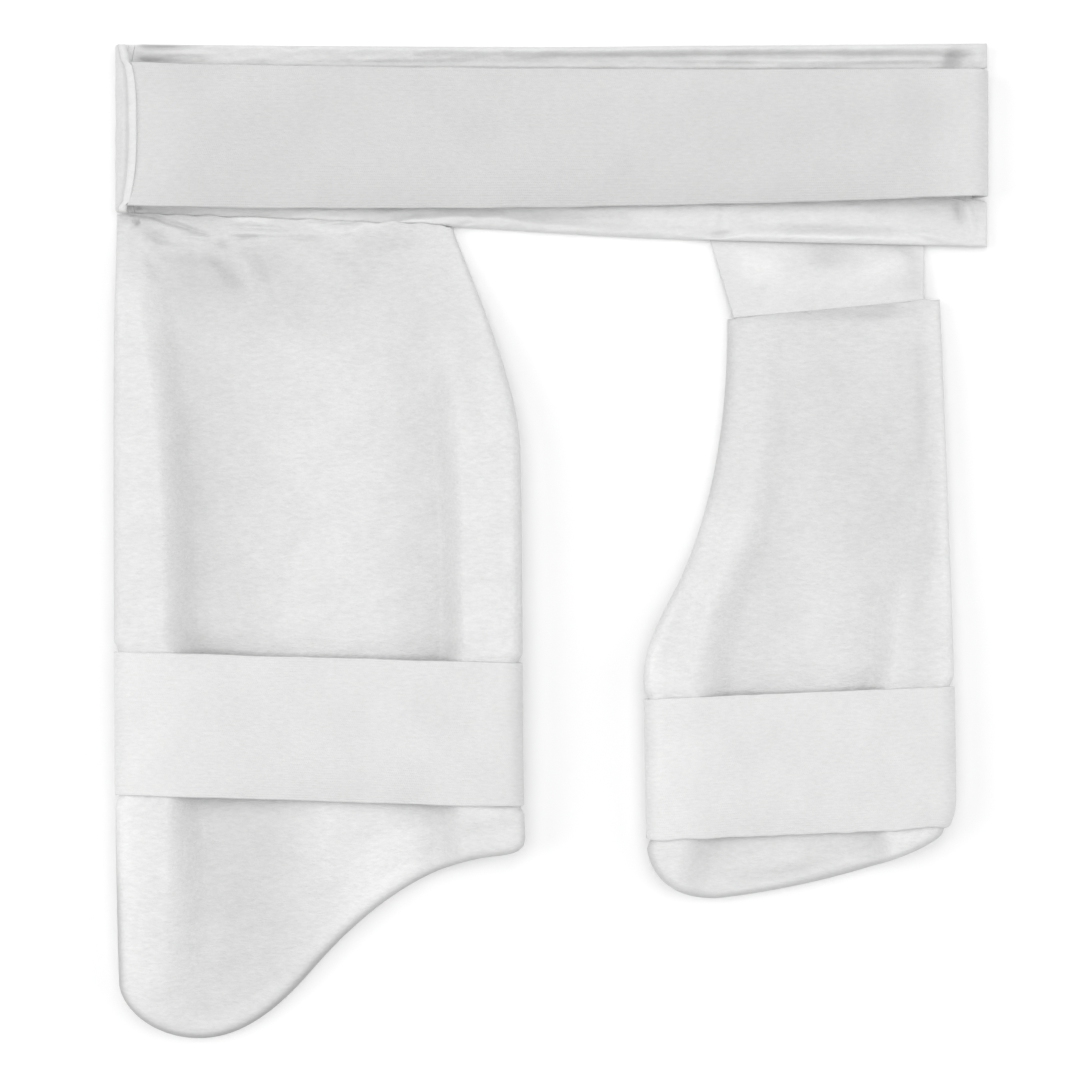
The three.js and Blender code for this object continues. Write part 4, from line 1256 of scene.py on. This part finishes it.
# %% Brushed knit
def brushed_knit_group():
    """Relief of a brushed knit: short streaks of raised yarn, small loops between them and a fine fuzz. Takes
    a place in millimetres and the streaks' stretch."""
    tree, given, out = group(
        "brushed_knit", {"Place": "Vector", "Stretch": "Vector"}, {"Height": "Float", "Tone": "Float"}
    )
    drawn = scaled_place(tree, given.outputs["Place"], given.outputs["Stretch"])
    streak = noise(tree, drawn, 0.6, 4.0, 0.66)
    loops = add(tree, "ShaderNodeTexVoronoi", {"Vector": drawn, "Scale": 1.15, "Randomness": 0.8})
    fuzz = noise(tree, given.outputs["Place"], 2.6, 2.0)
    raised = maths(tree, "MULTIPLY", streak, 0.55)
    looped = maths(tree, "MULTIPLY_ADD", loops.outputs["Distance"], -0.3, raised)
    height = maths(tree, "MULTIPLY_ADD", fuzz, 0.25, looped)
    tree.links.new(height, out.inputs["Height"])
    tree.links.new(streak, out.inputs["Tone"])
    return tree


brushed_knit = brushed_knit_group()
print("made", brushed_knit.name)


# %% Ribbed elastic
def ribbed_group():
    """Relief of knitted elastic: ribs along it, picks across them that alternate from rib to rib, and yarns
    of uneven thickness. Takes a place on the cloth in millimetres."""
    tree, given, out = group(
        "ribbed_elastic",
        {"Place": "Vector", "Rib": "Float", "Pick": "Float"},
        {"Height": "Float", "Tone": "Float"},
    )
    split = add(tree, "ShaderNodeSeparateXYZ", {0: given.outputs["Place"]})
    turns = maths(tree, "DIVIDE", split.outputs[0], given.outputs["Rib"])
    rib = maths(tree, "SINE", maths(tree, "MULTIPLY", turns, 2 * np.pi))
    picks = maths(tree, "DIVIDE", split.outputs[1], given.outputs["Pick"])
    shifted = maths(tree, "ADD", picks, maths(tree, "MULTIPLY", maths(tree, "FLOOR", turns), 0.5))
    pick = maths(tree, "SINE", maths(tree, "MULTIPLY", shifted, 2 * np.pi))
    yarn = noise(tree, scaled_place(tree, given.outputs["Place"], (1.0, 0.4, 1.0)), 0.7, 3.0, 0.6)
    relief = maths(tree, "MULTIPLY_ADD", rib, 0.22, maths(tree, "MULTIPLY", yarn, 0.6))
    height = maths(tree, "MULTIPLY_ADD", pick, 0.12, relief)
    tree.links.new(height, out.inputs["Height"])
    tree.links.new(yarn, out.inputs["Tone"])
    return tree


ribbed = ribbed_group()
print("made", ribbed.name)


# %% Tone of the cloth
def cloth_tone_group():
    """Colour of white cloth: a base that turns a little darker with a tone from the relief and with broad
    soft patches. The painted shade takes a fifth off it at full shade, about how grey white cloth looks in
    its hollows, and brightens it below zero."""
    tree, given, out = group(
        "cloth_tone",
        {
            "Place": "Vector", "Light": "Color", "Dark": "Color",
            "Tone": "Float", "Patches": "Float", "Shade": "Float",
        },
        {"Color": "Color"},
    )
    patch = noise(tree, given.outputs["Place"], 0.05, 2.0)
    broad = maths(tree, "MULTIPLY", patch, given.outputs["Patches"])
    share = maths(tree, "ADD", given.outputs["Tone"], broad)
    spread = add(tree, "ShaderNodeMapRange", {0: share, 1: 0.35, 2: 1.0, 3: 0.0, 4: 1.0}).outputs[0]
    mixed = add(
        tree,
        "ShaderNodeMix",
        {0: spread, 6: given.outputs["Dark"], 7: given.outputs["Light"]},
        data_type="RGBA",
    )
    left_over = maths(tree, "MULTIPLY_ADD", given.outputs["Shade"], -0.2, 1.0)
    scaled = add(tree, "ShaderNodeVectorMath", {0: mixed.outputs[2], "Scale": left_over}, operation="SCALE")
    tree.links.new(scaled.outputs[0], out.inputs["Color"])
    return tree


cloth_tone = cloth_tone_group()
print("node groups:", [tree.name for tree in bpy.data.node_groups])

# %% The four finishes
def grey(value):
    """A neutral colour."""
    return (value, value, value, 1.0)


def finish_of(name, relief, on_cloth, relief_inputs, light, dark, depth, roughness, sheen):
    """A cloth material: one relief group drives its bump and its tone. Depth is the relief's height in
    millimetres. The place is the piece's own chart or its place in the frame, in millimetres."""
    material = bpy.data.materials.new(name)
    material.use_nodes = True
    tree = material.node_tree
    shader = tree.nodes["Principled BSDF"]
    source = add(tree, "ShaderNodeUVMap", uv_map="cloth") if on_cloth else add(tree, "ShaderNodeTexCoord")
    in_metres = source.outputs["UV" if on_cloth else "Object"]
    place = scaled_place(tree, in_metres, (1 / MM, 1 / MM, 1 / MM))
    surface = add(tree, "ShaderNodeGroup", {"Place": place, **relief_inputs}, node_tree=relief)
    # The piece's painted shade, which darkens or brightens its colour.
    shade = add(tree, "ShaderNodeAttribute", attribute_name="shade").outputs["Fac"]
    tone_inputs = {"Place": place, "Tone": surface.outputs["Tone"], "Patches": 0.4, "Shade": shade}
    tone_inputs.update({"Light": grey(light), "Dark": grey(dark)})
    tone = add(tree, "ShaderNodeGroup", tone_inputs, node_tree=cloth_tone)
    tree.links.new(tone.outputs["Color"], shader.inputs["Base Color"])
    relief_height = surface.outputs["Height"]
    bump = add(tree, "ShaderNodeBump", {"Strength": 1.0, "Distance": depth * MM, "Height": relief_height})
    tree.links.new(bump.outputs[0], shader.inputs["Normal"])
    constants = {
        "Roughness": roughness, "Sheen Weight": sheen, "Sheen Roughness": 0.6, "Specular IOR Level": 0.2,
    }
    for socket, value in constants.items():
        shader.inputs[socket].default_value = value
    return material


cover_cloth = finish_of(
    "cover_cloth", brushed_knit, False, {"Stretch": (0.4, 1.0, 1.0)}, 0.83, 0.69, 0.48, 0.95, 0.2
)
panel_cloth = finish_of(
    "panel_cloth", brushed_knit, False, {"Stretch": (0.5, 1.1, 1.0)}, 0.83, 0.72, 0.3, 0.9, 0.2
)
elastic = finish_of("elastic", ribbed, True, {"Rib": 1.3, "Pick": 1.0}, 0.82, 0.73, 0.2, 0.85, 0.1)
hook_tape = finish_of("hook_tape", ribbed, True, {"Rib": 1.6, "Pick": 1.6}, 0.75, 0.65, 0.6, 0.6, 0.0)
print("finishes:", [finish.name for finish in (cover_cloth, panel_cloth, elastic, hook_tape)])

# %% [markdown]
# ## Dressing the frame
#
# Each new piece takes the place of its plain solid, rides on the guard's one body and takes its finish. The
# pads are padded, and the rest are sheets of cloth.

# %% Pieces, solids and finishes
dressed = [
    (panel, "waist_panel", "panel_cloth", panel_cloth),
    (waist_strap, "waist_strap", "elastic", elastic),
    (waist_tape, "waist_hook_tape", "hook_tape", hook_tape),
    (outer_pad, "outer_pad", "cover_cloth", cover_cloth),
    (outer_strap, "outer_thigh_strap", "elastic", elastic),
    (outer_tape, "outer_hook_tape", "hook_tape", hook_tape),
    (tab, "inner_pad_tab", "panel_cloth", panel_cloth),
    (inner_pad, "inner_pad", "cover_cloth", cover_cloth),
    (inner_strap, "inner_thigh_strap", "elastic", elastic),
    (inner_tape, "inner_hook_tape", "hook_tape", hook_tape),
]
for piece, node, slot_name, material in dressed:
    piece.data.materials.append(material)
    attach(piece, "root")
    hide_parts(node)
print(len(dressed), "pieces are dressed")

# %% Soft pieces
print("soft pieces are in place")

# %% [markdown]
# ## Floor and light
#
# The photograph has an even white ground and light from a wide box on each side and overhead, which brightens
# the wings' outer sides and leaves the valleys grey. A pale floor, a soft world and five wide lights do so.

# %% Floor
floor_mesh = bpy.data.meshes.new("floor")
floor_half = 3.0
floor_level = -0.4 * MM
floor_corners = [(-1, -1), (1, -1), (1, 1), (-1, 1)]
floor_points = [(x * floor_half, y * floor_half, floor_level) for x, y in floor_corners]
floor_mesh.from_pydata(floor_points, [], [(0, 1, 2, 3)])
floor = bpy.data.objects.new("floor", floor_mesh)
scene.collection.objects.link(floor)
floor_paint = bpy.data.materials.new("floor_paint")
floor_paint.use_nodes = True
floor_shader = floor_paint.node_tree.nodes["Principled BSDF"].inputs
floor_shader["Base Color"].default_value = grey(0.97)
floor_shader["Roughness"].default_value = 0.9
floor_mesh.materials.append(floor_paint)
print("floor level in mm:", round(floor_level / MM, 1))

# %% Light
world = bpy.data.worlds.new("studio")
scene.world = world
world.use_nodes = True
background = world.node_tree.nodes["Background"].inputs
background["Color"].default_value = grey(1.0)
background["Strength"].default_value = 0.38


def softbox(name, energy, from_east, from_north, angle=0.7):
    """A wide light far off, tipped from straight above by two angles in radians."""
    light = bpy.data.lights.new(name, "SUN")
    light.energy = energy
    light.angle = angle
    box = bpy.data.objects.new(name, light)
    box.rotation_euler = (-from_north, from_east, 0.0)
    scene.collection.objects.link(box)


softbox("above", 1.1, 0.0, 0.05, 0.9)
softbox("left", 0.8, -0.95, 0.1)
softbox("right", 0.58, 0.95, 0.1)
softbox("behind", 0.34, 0.0, 0.8)
softbox("front", 0.2, 0.0, -0.9)
scene.view_settings.view_transform = "Standard"
print("lights are set")
